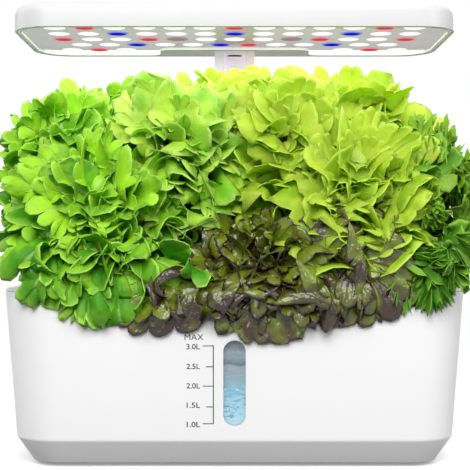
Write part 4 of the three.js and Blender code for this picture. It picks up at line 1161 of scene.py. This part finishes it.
@dataclass
class Deck:
    """The deck, its lid, the hub, the pump and the planting pods."""

    pods: int = 10
    basket_top: float = 14.9 * MM
    basket_bottom: float = 11.5 * MM
    centre_hole: float = 2 * MM
    edge: float = 0.3 * MM
    flange: float = 3.1 * MM
    flange_height: float = 1.4 * MM
    wall: float = 1.3 * MM
    sides: int = 48
    plug_bottom: float = 9.9 * MM
    plug_gap: float = 0.2 * MM
    stem_hole: float = 2.7 * MM

    def basket(self, index: int) -> None:
        """A net pot: rings down the outside and the inside, with cells left out for the slots."""
        low, high, middle = measured(f"basket_{index}")
        top, bottom, wall, hole, edge = (
            self.basket_top, self.basket_bottom, self.wall, self.centre_hole, self.edge
        )
        lip, seat = top + self.flange, high.z - self.flange_height
        share = np.array([0, 0.1, 0.16, 0.28, 0.3, 0.42, 0.44, 0.56, 0.58, 0.7, 0.72, 0.84, 0.9, 1.0])
        heights = low.z + edge + share * (seat - low.z - edge)
        radii = bottom + share * (top - bottom)
        outside = np.concatenate([
            [[hole, low.z], [bottom * 0.6, low.z], [bottom - 0.4 * MM, low.z]],
            np.stack([radii, heights], 1),
            [[lip, seat], [lip, high.z - edge], [lip - edge, high.z], [top - wall + edge, high.z]],
        ])
        inside = np.concatenate([
            [[hole, low.z + wall], [bottom * 0.6, low.z + wall], [bottom - wall - 0.2 * MM, low.z + wall]],
            np.stack([radii - wall, heights + 0.8 * wall * (1 - share)], 1),
            np.tile([[top - wall, high.z - 0.4 * MM]], (4, 1)),
        ])
        keep = np.ones((len(outside) - 1, self.sides), bool)
        bar = np.arange(self.sides) % 4 == 0
        for band in (5, 7, 9, 11, 13):
            keep[band, ~bar] = False
        points = np.concatenate([revolved(side, self.sides).reshape(-1, 3) for side in (outside, inside)])
        skins, walls = shell_faces(keep, len(outside), self.sides)
        made = mesh_object(f"net_pot_{index}", points + middle, [skins[:, ::-1], walls[:, ::-1]])
        crisp(made, 35)
        placed(made, BASKET, Body.DECK, f"basket_{index}")

    def sponge(self, index: int) -> None:
        """A tapering plug with a stem hole, its skin pushed in and out by slow waves."""
        low, high, middle = measured(f"sponge_{index}")
        top, bottom, hole = (high.x - low.x) / 2 - self.plug_gap, self.plug_bottom, self.stem_hole
        profile = rounded_path([
            (hole, low.z, 0), (bottom, low.z, 1 * MM), (top, high.z, 1.2 * MM), (hole, high.z, 0.6 * MM),
        ], 4)
        rings = revolved(profile, 32)
        wobble = 1 + 0.008 * np.sin(rings[..., 2:] * 900 + 3 * np.arctan2(rings[..., 1:2], rings[..., :1]))
        rings = rings * np.concatenate([wobble, wobble, np.ones_like(wobble)], 2) + middle
        levels, count = rings.shape[:2]
        quads = ring_faces(levels + 1, count) % (levels * count)
        made = mesh_object(f"sponge_plug_{index}", rings.reshape(-1, 3), [quads])
        crisp(made, 50)
        placed(made, SPONGE, Body.DECK, f"sponge_{index}")

    def build(self) -> None:
        """Makes the deck and what it carries, apart from the plants."""
        softened("grow_deck", 0.35 * MM, WHITE, Body.DECK)
        for index in range(1, self.pods + 1):
            self.basket(index)
            self.sponge(index)
        for node, width, finish, body in (
            ("fill_lid", 0.4, WHITE, Body.FILL_LID), ("mast_hub", 0.5, WHITE, Body.DECK),
            ("hub_board", 0.15, CIRCUIT, Body.DECK), ("power_jack", 0.3, BLACK, Body.DECK),
            ("pump_housing", 0.6, BLACK, Body.DECK), ("pump_strainer", 0.3, BLACK, Body.DECK),
            ("pump_impeller", 0.15, INNER, Body.IMPELLER), ("pump_riser", 0.3, INNER, Body.DECK),
        ):
            softened(node, width * MM, finish, body)
        repaint("lid_pin", STEEL)
        repaint("impeller_shaft", STEEL)
        repaint("pump_lead", BLACK)


class Mast:
    """The rail, the channel that slides up it, its pad and the lead inside."""

    def build(self) -> None:
        """Makes the mast."""
        softened("mast_rail", 0.5 * MM, MAST_PAINTED_LILAC_LIGHT, Body.DECK)
        softened("mast_slider", 0.5 * MM, MAST_PAINTED_LILAC_LIGHT, Body.LAMP)
        repaint("friction_pad", BLACK)
        repaint("lamp_lead", BLACK)


@dataclass(frozen=True)
class Light:
    """One colour of the lights: its letter in the lamp's rows, its name and its look."""

    letter: str
    name: str
    finish: Glow


LIGHTS = (
    Light("W", "white", Glow("light_white", Slot.BOARD, (1.0, 1.0, 0.97), (0.98, 0.98, 0.95), 0.7, 1.05)),
    Light("R", "red", Glow("light_red", Slot.BOARD, (0.72, 0.04, 0.07), (0.9, 0.3, 0.36), 0.66, 1.0)),
    Light("B", "blue", Glow("light_blue", Slot.BOARD, (0.0, 0.0, 0.56), (0.25, 0.28, 0.85), 0.66, 1.0)),
    Light("D", "dim", Glow("light_dim", Slot.BOARD, (0.42, 0.26, 0.28), (0.45, 0.33, 0.34), 0.7, 0.8)),
)


@dataclass
class Lamp:
    """The flat lamp: cover, bezel, board with its lenses, and three buttons."""

    length: float = 281 * MM
    width: float = 120 * MM
    low: float = 271.8 * MM
    high: float = 288 * MM
    corner: float = 25 * MM
    edge: float = 6 * MM
    wall: float = 2.2 * MM
    pitch: float = 19.1 * MM
    row_pitch: float = 21.2 * MM
    lens_radius: float = 7.3 * MM
    lens_low: float = 273.55 * MM
    board_low: float = 274.1 * MM
    board_high: float = 275.7 * MM
    notch_length: float = 105 * MM
    notch_depth: float = 28 * MM
    frame_width: float = 3.6 * MM
    notch_corner: float = 8 * MM
    button_places: tuple[float, ...] = (-22 * MM, 0.0, 22 * MM)
    button_row: float = -36 * MM
    button_hole: float = 5.1 * MM
    button_radius: float = 4.8 * MM
    button_flange: float = 1.2 * MM
    lens_sides: int = 28
    rows: tuple[str, ...] = (
        "WRWWWWRWWWWRW", "WWBWWWBWWWBWW", "RWWRDWWWDRWWR", "WWBWWBRWWBWW", "WRW.......WRW",
    )

    def cover(self) -> None:
        """Inside up from the ceiling to the rim, then up the outside and over its round edge."""
        inner, ceiling = self.wall, self.high - self.wall
        path = rounded_path([
            (inner + 9 * MM, ceiling, 0), (inner, ceiling, 3.6 * MM), (inner, self.low, 0.3 * MM),
            (0, self.low, 0.3 * MM), (0, self.high, self.edge), (2 * self.edge, self.high, 0),
        ], 8)
        cover = ringed_object("lamp_cover", lofted(self.length / 2, self.width / 2, self.corner, path, 20))
        profile = np.array([[self.button_hole, self.high - 4 * MM], [self.button_hole, self.high + 2 * MM]])
        tool = revolved(profile, 40)
        carved(cover, [
            ringed_object("button_tool", tool + np.array([x, self.button_row, 0])) for x in self.button_places
        ])
        crisp(cover, 35)
        placed(cover, LAMP_WHITE_PAINTED_SHADE, Body.LAMP, "lamp_shell")

    def opening(self, grow: float) -> Array:
        """The outline of the opening under the lights, with a step in for the mast.

        Args:
            grow: how far outside the opening the outline runs.

        Returns:
            Points as [n, 2].
        """
        inset, step = self.frame_width - grow, self.notch_corner
        half_x, half_y = self.length / 2 - inset, self.width / 2 - inset
        corner = self.corner - inset
        notch_x, notch_y = self.notch_length / 2 - grow, self.width / 2 - self.notch_depth + grow
        return rounded_path([
            (half_x, half_y, corner), (notch_x, half_y, step), (notch_x, notch_y, step),
            (-notch_x, notch_y, step), (-notch_x, half_y, step),
            (-half_x, half_y, corner), (-half_x, -half_y, corner), (half_x, -half_y, corner),
        ], 8, closed=True)

    def board(self) -> None:
        """A plate in the opening's outline."""
        outline = self.opening(0.7 * MM)
        rings = np.array([
            np.column_stack([outline, np.full(len(outline), z)]) for z in (self.board_low, self.board_high)
        ])
        placed(ringed_object("light_board", rings), BOARD, Body.LAMP, "led_board")

    def lenses(self) -> None:
        """Flat domes in a grid: z falls with the square root of 1 - (r / R)^2 to the lens's low point."""
        share = np.linspace(0, 1, 7) ** 0.7
        radii = self.lens_radius * np.concatenate([[1, 1], 1 - share[1:] * 0.97])
        drop = np.sqrt(np.clip(1 - (radii[1:] / self.lens_radius) ** 2, 0, 1))
        top, rim = self.board_low + 0.2 * MM, self.board_low - 0.1 * MM
        heights = np.concatenate([[top], rim - drop * (rim - self.lens_low)])
        rings = revolved(np.stack([radii, heights], 1)[::-1], self.lens_sides)
        radius = np.hypot(rings[..., 0], rings[..., 1]).ravel() / self.lens_radius
        levels, count = rings.shape[:2]
        base, middle = rings.reshape(-1, 3), len(self.rows) // 2
        for light in LIGHTS:
            spots = np.array([
                ((place - (len(row) - 1) / 2) * self.pitch, (number - middle) * self.row_pitch, 0)
                for number, row in enumerate(self.rows) for place, letter in enumerate(row)
                if letter == light.letter
            ])
            points = (base[None] + spots[:, None]).reshape(-1, 3)
            shift = np.arange(len(spots))[:, None, None] * len(base)
            quads = (ring_faces(levels, count)[None] + shift).reshape(-1, 4)
            first = (np.arange(count)[::-1][None, None] + shift).reshape(-1, count)
            last = (np.arange(count)[None, None] + (levels - 1) * count + shift).reshape(-1, count)
            tones = {"radius": np.tile(radius, len(spots))}
            made = mesh_object(f"lenses_{light.name}", points, [quads, first, last], tones=tones)
            crisp(made, 50)
            placed(made, light.finish, Body.LAMP)

    def buttons(self) -> None:
        """Round caps with a dished top."""
        for body in (Body.POWER_BUTTON, Body.LIGHT_BUTTON, Body.PUMP_BUTTON):
            low, high, middle = measured(body.value)
            hole, cap, step = 0.3 * MM, self.button_radius, low.z + self.button_flange
            flange = (high.x - low.x) / 2
            profile = rounded_path([
                (hole, low.z, 0), (flange, low.z, 0), (flange, step, 0), (cap, step, 0),
                (cap, high.z, 0.5 * MM), (cap - 1.2 * MM, high.z, 0), (hole, high.z - 0.25 * MM, 0),
            ], 4)
            made = ringed_object(f"{body.value}_cap", revolved(profile, 40) + middle)
            placed(made, WHITE, body, body.value)

    def build(self) -> None:
        """Makes the lamp."""
        self.cover()
        softened("lamp_bezel", 0.25 * MM, FRAME, Body.LAMP)
        self.board()
        self.lenses()
        self.buttons()
        repaint("button_board", CIRCUIT)


@dataclass(frozen=True)
class Room:
    """Where leaves may be, in millimetres: beside and over the tank, before the mast and the lid."""

    half_width: float = 158.0
    front: float = -98.5
    rear: float = 91.0
    low: float = 77.0
    high: float = 264.0
    tank_half_length: float = 143.0
    tank_half_depth: float = 87.0
    tank_corner: float = 35.0
    tank_gap: float = 1.0
    deck: float = 112.0
    hub_half_width: float = 26.0
    hub_front: float = 29.0
    lid_left: float = 60.0
    lid_front: float = 45.0

    def cleared(self, points: Array) -> Array:
        """Moves points out of the tank, deck, hub, mast, lid and lamp, and into the garden's own width.

        Inside the tank's outline a point below the deck goes up or out, whichever is nearer.

        Args:
            points: any array of points in millimetres.

        Returns:
            The moved points.
        """
        x = np.clip(points[..., 0], -self.half_width, self.half_width)
        y = np.clip(points[..., 1], self.front, self.rear)
        z = np.clip(points[..., 2], self.low, self.high)
        corner = self.tank_corner
        qx = np.abs(x) - (self.tank_half_length - corner)
        qy = np.abs(y) - (self.tank_half_depth - corner)
        outside = np.hypot(np.maximum(qx, 0), np.maximum(qy, 0)) + np.minimum(np.maximum(qx, qy), 0) - corner
        need_out, need_up = self.tank_gap - outside, self.deck - z
        low = (need_out > 0) & (need_up > 0)
        push = low & (need_out < need_up)
        way_x = np.where((qx > 0) | (qx > qy), np.maximum(qx, 0.01), 0.0)
        way_y = np.where((qy > 0) | (qy >= qx), np.maximum(qy, 0.01), 0.0)
        size = np.maximum(np.hypot(way_x, way_y), 1e-6)
        x = np.where(push, x + np.sign(x) * way_x / size * need_out, x)
        y = np.where(push, y + np.sign(y) * way_y / size * need_out, y)
        z = np.where(low & ~push, self.deck, z)
        y = np.where((np.abs(x) < self.hub_half_width) & (y > self.hub_front), self.hub_front, y)
        y = np.where((x > self.lid_left) & (y > self.lid_front), self.lid_front, y)
        return np.stack([x, y, z], -1)


ROOM = Room()


@dataclass(frozen=True)
class Cultivar:
    """How one kind of lettuce shapes its leaves. Lengths are in millimetres, and angles in degrees."""

    finish: Leaf
    reach: float
    stretch: float
    spread: float
    lobes: int
    steps: int
    lobe_depth: float
    ruffle: float
    waves: float
    cup: float
    curl: float
    droop: float
    leaves: int
    lobe_cup: float = 0.09
    rows: int = 7
    stalk: float = 3.0
    margin_thick: float = 0.2
    blade_thick: float = 0.55
    stalk_thick: float = 1.6

    def inner(self) -> "Cultivar":
        """The kind of the layer behind the outer leaves: fewer and plainer leaves, bent down."""
        return replace(
            self, lobe_depth=0.16, ruffle=2.5, stretch=0.15, curl=0.05, cup=0.15, rows=5, lobes=5,
            steps=5, leaves=46, droop=85,
        )


@dataclass(frozen=True)
class Ribs:
    """The middle lines of a layer's leaves, one row each, from the crown to the tips.

    The bones are the four control points of each cubic, the length is how far the tip is from the
    crown, the side is the level way across, and the age runs from 0 outside to 1 in the heart.
    """

    bones: list[Array]
    length: Array
    side: Array
    age: Array

    def framed(self, u: Array, twist: Array) -> list[Array]:
        """Points and ways along cubic ribs: (1-u)^3 a + 3 (1-u)^2 u b + 3 (1-u) u^2 c + u^3 d.

        Args:
            u: places along the ribs, [leaves, rows, columns].
            twist: how far a blade turns about its rib by the rib's end.

        Returns:
            The points, and the ways along, across and square to the blade.
        """
        a, b, c, d = (bone[:, None, None, :] for bone in self.bones)
        u = u[..., None]
        spot = (1 - u) ** 3 * a + 3 * (1 - u) ** 2 * u * b + 3 * (1 - u) * u**2 * c + u**3 * d
        along = 3 * (1 - u) ** 2 * (b - a) + 6 * (1 - u) * u * (c - b) + 3 * u**2 * (d - c)
        along = along / np.maximum(np.linalg.norm(along, axis=-1, keepdims=True), 1e-6)
        level = self.side[:, None, None, :]
        across = level - (level * along).sum(-1, keepdims=True) * along
        across = across / np.maximum(np.linalg.norm(across, axis=-1, keepdims=True), 1e-6)
        square = np.cross(along, across)
        turn = twist[:, None, None, None] * u
        return [
            spot, along, across * np.cos(turn) + square * np.sin(turn),
            square * np.cos(turn) - across * np.sin(turn),
        ]


@dataclass
class Head:
    """One plant: where its leaves start, and the rounded form that their tips reach."""

    number: int
    kind: Cultivar
    centre: tuple[float, float, float]
    reach: tuple[float, float, float, float]
    top: float
    bottom: float
    tilt: float = 45.0
    leaves: int = 0
    hanging: tuple[tuple[float, float], ...] = ()
    outer_depth: tuple[float, float] = (0.9, 1.06)
    inner_depth: tuple[float, float] = (0.7, 0.82)
    hanging_front: tuple[float, float] = (93, 97)
    form_power: float = 2.8

    def ways(self, random: Random, count: int) -> tuple[Array, ...]:
        """A sunflower spiral round the head's axis, which leans forward by the tilt.

        Args:
            random: the draws of this head.
            count: how many leaves.

        Returns:
            The axis, each leaf's way out from it, each leaf's rise above that way, and its age
            from 0 outside to 1 in the heart.
        """
        lean = math.radians(self.tilt)
        axis = np.array([0.0, -math.sin(lean), math.cos(lean)])
        first = np.array([1.0, 0.0, 0.0])
        second = np.cross(axis, first)
        order = (np.arange(count) + 0.5) / count
        turn = np.arange(count) * GOLDEN_ANGLE + random.normal(0, 0.35, count)
        rise = np.arcsin(np.clip(-0.72 + 1.7 * order**0.9, -1, 0.99)) + random.normal(0, 0.16, count)
        out = np.cos(turn)[:, None] * first + np.sin(turn)[:, None] * second
        return axis, out, rise, order

    def tips(
        self, random: Random, axis: Array, out: Array, rise: Array, depth: tuple[float, float],
    ) -> Array:
        """Where each way meets the head's form: (|x/a|^p + |y/b|^p + |z/c|^p) = 1.

        Args:
            random: the draws of this head.
            axis: the head's axis.
            out: each leaf's way out from it.
            rise: each leaf's rise.
            depth: the least and the greatest share of the form that a tip reaches.

        Returns:
            The tips.
        """
        way = np.cos(rise)[:, None] * out + np.sin(rise)[:, None] * axis
        left, right, front, back = self.reach
        half = np.stack([
            np.where(way[:, 0] < 0, left, right), np.where(way[:, 1] < 0, front, back),
            np.where(way[:, 2] < 0, self.centre[2] - self.bottom, self.top - self.centre[2]),
        ], 1)
        form = (np.abs(way / half) ** self.form_power).sum(1) ** (-1 / self.form_power)
        return np.array(self.centre) + way * (form * random.uniform(*depth, len(way)))[:, None]

    def bones(
        self, random: Random, pod: Array, tips: Array, end: Array, out: Array,
    ) -> tuple[list[Array], Array]:
        """Cubic curves from the crown through the heart to the tips, which they reach along their ends.

        Args:
            random: the draws of this head.
            pod: the crown's place.
            tips: the tips.
            end: the ribs' ways at the tips.
            out: the leaves' ways out.

        Returns:
            The four control points of every rib, and the ribs' lengths.
        """
        up = np.array([0.0, 0.0, 1.0])
        crown = pod + out * random.uniform(1.0, 5.0, (len(tips), 1))
        length = np.linalg.norm(tips - crown, axis=1, keepdims=True)
        heart = np.array(self.centre) - pod
        first = crown + heart * 0.45 + up * 0.12 * length + out * 0.12 * length
        return [crown, first, tips - end * length * 0.42, tips], length[:, 0]

    def build(self, pod: Array) -> None:
        """Makes all leaves as one shell: the outer leaves, an inner layer kept dark as painted shade in their
        gaps, and those over the rim.

        Args:
            pod: the crown's place.
        """
        random = np.random.default_rng(1000 + 17 * self.number)
        count = self.leaves or self.kind.leaves
        axis, out, rise, age = self.ways(random, count)
        tips = self.tips(random, axis, out, rise, self.outer_depth)
        slope = rise - np.radians(self.kind.droop) * (1 - 0.55 * age) * random.uniform(0.5, 1.3, count)
        end = out * np.cos(slope)[:, None] + axis * np.sin(slope)[:, None]
        side = np.cross(axis, out)
        if self.hanging:
            extra = len(self.hanging)
            swing = random.normal(0, 0.45, extra)
            low = np.array([(x, -random.uniform(*self.hanging_front), z) for x, z in self.hanging])
            tips = np.concatenate([tips, low])
            fall = np.stack([np.sin(swing), 0 * swing - 0.16, -np.cos(swing)], 1)
            end = np.concatenate([end, fall])
            across = np.stack([np.cos(swing), 0 * swing, np.sin(swing)], 1)
            side = np.concatenate([side, across])
            out = np.concatenate([out, np.tile([[0.0, -1.0, 0.0]], (extra, 1))])
            age = np.concatenate([age, np.full(extra, 0.05)])
        ribs = Ribs(*self.bones(random, pod, tips, end, out), side, age)
        parts = [self.blades(random, self.kind, ribs), self.stalks(ribs)]
        low, high = self.bottom, self.top
        # A leaf's tone grows with its age and, as painted light, with the height of its tip: higher leaves
        # get more of the pale heart colour, lower ones the darker blade colour.
        age_and_painted_top_light = 0.5 * age + 0.55 * np.clip((tips[:, 2] - low) / (high - low), 0, 1)
        tones = [age_and_painted_top_light, age_and_painted_top_light]

        kind = self.kind.inner()
        axis, out, rise, age = self.ways(random, kind.leaves)
        tips = self.tips(random, axis, out, rise, self.inner_depth)
        slope = rise - math.radians(kind.droop)
        end = out * np.cos(slope)[:, None] + axis * np.sin(slope)[:, None]
        ribs = Ribs(*self.bones(random, pod, tips, end, out), np.cross(axis, out), 0 * age)
        parts.append(self.blades(random, kind, ribs))
        # The inner layer's tone stays low, so it takes the darker blade colour: painted shade in the gaps
        # between the outer leaves.
        tones.append(0.4 * age)
        self.shells(parts, [np.clip(tone + random.normal(0, 0.14, len(tone)), 0, 1) for tone in tones])

    def blades(self, random: Random, kind: Cultivar, ribs: Ribs) -> tuple[Array, Array]:
        """Fans round the end of each stalk, bent along the rib.

        The margin is a row of round lobes: round a lobe runs an angle b from -90 to 90 degrees, its width
        goes as sin b and its notches as 1 - cos b. At angle a and share r, a point is
        rho = r R (1 + s cos a) / (1 + s) (1 - notch r^1.5) from the blade's foot; rho cos a lies along the
        rib and rho sin a across it. Square to the blade it moves by waves that grow as r^3.2 and by each
        lobe's own dome, less a cup of rho^2 and a curl of r^4 at the margin.

        Args:
            random: the draws of this head.
            kind: the shape of its leaves.
            ribs: their middle lines.

        Returns:
            Points as [leaves, rows, columns, 3], and each grid point's place on the surface.
        """
        count = len(ribs.age)
        column = np.arange(kind.lobes * kind.steps + 1)
        within = (column % kind.steps) / kind.steps * math.pi - math.pi / 2
        even = (2 * column / (kind.lobes * kind.steps) - 1)[None, None, :]
        round_lobe = (2 * (column // kind.steps + 0.5 + 0.5 * np.sin(within)) / kind.lobes - 1)[None, None, :]
        arc = np.cos(within)[None, None, :]
        r = (1 - (1 - np.linspace(0.0, 1, kind.rows)) ** 1.5 * 0.95)[None, :, None]
        young, length = ribs.age[:, None, None], ribs.length[:, None, None]
        reach = kind.reach * (1 - 0.35 * young) * random.uniform(0.6, 1.25, (count, 1, 1))
        phase, other, third = random.uniform(0, 2 * math.pi, (3, count, 1, 1))
        v = even + (round_lobe - even) * r**2
        v = v + 0.15 * (1 - v**2) * np.sin(2.2 * v + phase)
        turn = math.radians(kind.spread) * v
        notch = kind.lobe_depth * random.uniform(0.7, 1.25, (count, 1, 1)) * (1 - arc)
        rho = r * reach * (1 + kind.stretch * np.cos(turn)) / (1 + kind.stretch)
        rho = rho * (1 - notch * r**1.5) * (1 + 0.07 * np.sin(3.3 * turn + other))
        rho = rho * (1 - 0.5 * np.abs(v) ** 8)
        foot = np.maximum(length - reach, 10.0)
        x = rho * np.sin(turn)
        u = np.clip((foot + rho * np.cos(turn)) / length, 0.0, 1.12)
        twist = random.normal(0, 0.6, count)
        spot, along, across, square = ribs.framed(u, twist)
        wave = np.sin(kind.waves * turn + third) + 0.4 * np.sin(0.6 * kind.waves * turn + other)
        ruffle = kind.ruffle * (1 + 0.25 * young) * r**3.2 * wave
        slow = 0.45 * kind.ruffle * r * np.sin(1.4 * turn + phase)
        rolled = kind.curl * random.uniform(-0.8, 1.8, (count, 1, 1))
        bend = (kind.cup * rho**2 / kind.reach + rolled * reach * r**4) * (1 - 1.3 * young)
        dome = kind.lobe_cup * reach * (arc - 0.5) * r**3 * random.uniform(-0.5, 1.5, (count, 1, 1))
        out = ruffle + slow + dome - bend
        points = spot + across * x[..., None] + square * out[..., None] + along * (0.3 * ruffle)[..., None]
        place = np.stack(np.broadcast_arrays((even + 1) / 2, r), -1)[0]
        return points, place

    def stalks(self, ribs: Ribs) -> tuple[Array, Array]:
        """Strips along the ribs that narrow towards the blade.

        Args:
            ribs: the leaves' middle lines.

        Returns:
            Points as [leaves, rows, columns, 3], and each grid point's place on the surface.
        """
        reach = self.kind.reach * (1 - 0.4 * ribs.age)
        ends = np.clip(1 - 0.75 * reach / ribs.length, 0.3, 0.95)
        u = ends[:, None, None] * np.linspace(0, 1, 7)[None, :, None] + np.zeros((1, 1, 5))
        spot, _, across, square = ribs.framed(u, np.zeros(len(reach)))
        v = np.linspace(-1, 1, 5)[None, None, :]
        half = self.kind.stalk * (1 - 0.75 * np.linspace(0, 1, 7) ** 2)[None, :, None]
        x = v * half
        points = spot + across * x[..., None] + square * (0.3 * half * v**2)[..., None]
        place = np.stack(np.broadcast_arrays(0.5 + 0.03 * v, np.linspace(0, 0.25, 7)[None, :, None]), -1)[0]
        return points, place

    def shells(self, parts: list[tuple[Array, Array]], ages: list[Array]) -> None:
        """Gives grids their thickness and joins them: two skins half a thickness off the middle.

        Args:
            parts: points in millimetres, [leaves, rows, columns, 3], and their places on the surface.
            ages: each part's leaves' tones: their ages, with painted light by height on the outer leaves and
                painted shade on the inner layer.
        """
        spots, skins, walls, uvs, tones = [], [], [], [], []
        start = 0
        for number, ((points, place), tone) in enumerate(zip(parts, ages)):
            points = ROOM.cleared(points)
            count, rows, columns = points.shape[:3]
            skin = np.cross(np.gradient(points, axis=1), np.gradient(points, axis=2))
            skin /= np.maximum(np.linalg.norm(skin, axis=3, keepdims=True), 1e-7)
            stalks = number == 1
            margin = np.abs(np.linspace(-1, 1, columns))[None, :, None] if stalks else place[..., 1:]
            middle = self.kind.stalk_thick if stalks else self.kind.blade_thick
            thick = self.kind.margin_thick + middle * (1 - margin) ** 1.5
            front, back = points + skin * thick / 2, points - skin * thick / 2
            spots.append(np.stack([front, back], 1).reshape(-1, 3) * MM)
            shift = start + np.arange(count)[:, None, None] * 2 * rows * columns
            made = shell_faces(np.ones((rows - 1, columns - 1), bool), rows, columns)
            skins.append((made[0][None] + shift).reshape(-1, 4))
            walls.append((made[1][None] + shift).reshape(-1, 4))
            uvs.append(np.tile(place.reshape(-1, 2), (2 * count, 1)))
            tones.append(np.repeat(tone, 2 * rows * columns))
            start += 2 * count * rows * columns
        faces = [*skins, *walls]
        made = mesh_object(
            f"lettuce_{self.number}", np.concatenate(spots), faces, flat=sum(len(part) for part in walls),
            uv=np.concatenate(uvs), tones={"tone": np.concatenate(tones)},
        )
        placed(made, self.kind.finish, Body.DECK, f"plant_{self.number}")


@dataclass
class Garden:
    """The ten heads, each over its basket."""

    heads: tuple[Head, ...]

    def build(self) -> None:
        """Plants the heads."""
        for head in self.heads:
            _, high, middle = measured(f"basket_{head.number}")
            head.build((middle + np.array([0, 0, high.z])) / MM)


GREEN = Cultivar(
    Leaf("leaf_green_skin", Slot.LEAF_GREEN), 30.0, 0.3, 128, 8, 6, 0.3, 3.6, 5.0, 0.3, 0.25, 66, 74,
)
BRIGHT = Cultivar(
    Leaf(
        "leaf_bright_skin", Slot.LEAF_GREEN, heart=(0.78, 0.97, 0.13), blade=(0.3, 0.7, 0.04),
        margin=(0.74, 0.95, 0.25), through=(0.5, 0.85, 0.05), through_share=0.36,
    ), 32.0, 0.2, 125, 9, 6, 0.22, 3.8, 5.0, 0.32, 0.2, 64, 72,
)
LIME = Cultivar(
    Leaf(
        "leaf_lime_skin", Slot.LEAF_LIME, heart=(0.72, 0.85, 0.09), blade=(0.3, 0.56, 0.01),
        margin=(0.74, 0.92, 0.12), rib=(0.7, 0.85, 0.3), through=(0.6, 0.85, 0.02), through_share=0.36,
        veins=7.0,
    ), 37.0, 0.1, 125, 12, 5, 0.1, 4.4, 4.0, 0.35, 0.15, 62, 62,
)
RED = Cultivar(
    Leaf(
        "leaf_red_skin", Slot.LEAF_RED, heart=(0.24, 0.33, 0.015), blade=(0.045, 0.022, 0.007),
        margin=(0.045, 0.018, 0.012), rib=(0.3, 0.36, 0.06), through=(0.25, 0.14, 0.02),
        through_share=0.15, roughness=0.2, vein_share=0.16, pucker=0.9 * MM, gloss=0.6, patches=0.5,
    ), 31.0, 0.3, 128, 8, 6, 0.26, 3.6, 5.0, 0.3, 0.25, 70, 70,
)
DARK = Cultivar(
    Leaf(
        "leaf_dark_skin", Slot.LEAF_DARK, heart=(0.36, 0.66, 0.04), blade=(0.06, 0.25, 0.01),
        margin=(0.3, 0.6, 0.06), rib=(0.4, 0.62, 0.15), through=(0.25, 0.5, 0.03),
    ), 22.0, 0.8, 130, 25, 4, 0.55, 4.8, 13.0, 0.4, 0.3, 56, 92, rows=5,
)
OVER_LEFT = (
    (-128, 104), (-117, 98), (-106, 96), (-97, 103), (-87, 99), (-77, 102), (-67, 93), (-56, 89),
    (-132, 118), (-122, 114), (-111, 112), (-101, 116), (-92, 113), (-82, 116), (-72, 110), (-61, 106),
    (-50, 102), (-34, 112), (-22, 112),
)
OVER_MIDDLE = (
    (-66, 88), (-60, 86), (-31, 104), (-14, 104), (2, 97), (11, 96), (21, 81), (29, 78), (38, 88),
    (50, 86), (62, 89), (74, 93), (86, 89), (98, 96), (-56, 102), (-28, 106), (-4, 108), (8, 107),
    (17, 102), (33, 97), (45, 103), (56, 101), (68, 105), (80, 104), (92, 103), (104, 108), (26, 112),
    (64, 118), (84, 117),
)
OVER_RIGHT = (
    (105, 98), (114, 97), (122, 95), (129, 102), (136, 107), (108, 112), (118, 111), (127, 114),
    (140, 118),
)
GARDEN = Garden((
    Head(1, GREEN, (-84, -56, 148), (66, 54, 38, 30), 206, 92, 50, 66, OVER_LEFT),
    Head(2, RED, (26, -62, 122), (62, 84, 34, 24), 160, 90, 55, 60, OVER_MIDDLE),
    Head(3, LIME, (76, -52, 166), (56, 50, 40, 28), 214, 118, 55, 66),
    Head(4, GREEN, (-106, -22, 180), (44, 42, 54, 56), 238, 110, 25),
    Head(5, BRIGHT, (-34, -30, 187), (50, 46, 48, 36), 245, 124, 50),
    Head(6, LIME, (36, -28, 187), (50, 54, 50, 36), 248, 124, 50),
    Head(7, DARK, (118, -32, 156), (47, 39, 59, 62), 216, 90, 35, 66, OVER_RIGHT),
    Head(8, GREEN, (-74, 20, 188), (58, 54, 44, 61), 245, 124, 0),
    Head(9, LIME, (2, 0, 194), (50, 50, 34, 28), 252, 128, 25),
    Head(10, LIME, (78, 6, 188), (50, 68, 50, 38), 248, 124, 25),
))


def main() -> None:
    """Builds the scene in order."""
    logging.basicConfig(level=logging.INFO, format="%(name)s: %(message)s")
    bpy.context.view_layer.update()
    Studio().build()
    Tank().build()
    Deck().build()
    Mast().build()
    Lamp().build()
    GARDEN.build()


if __name__ == "__main__":
    main()
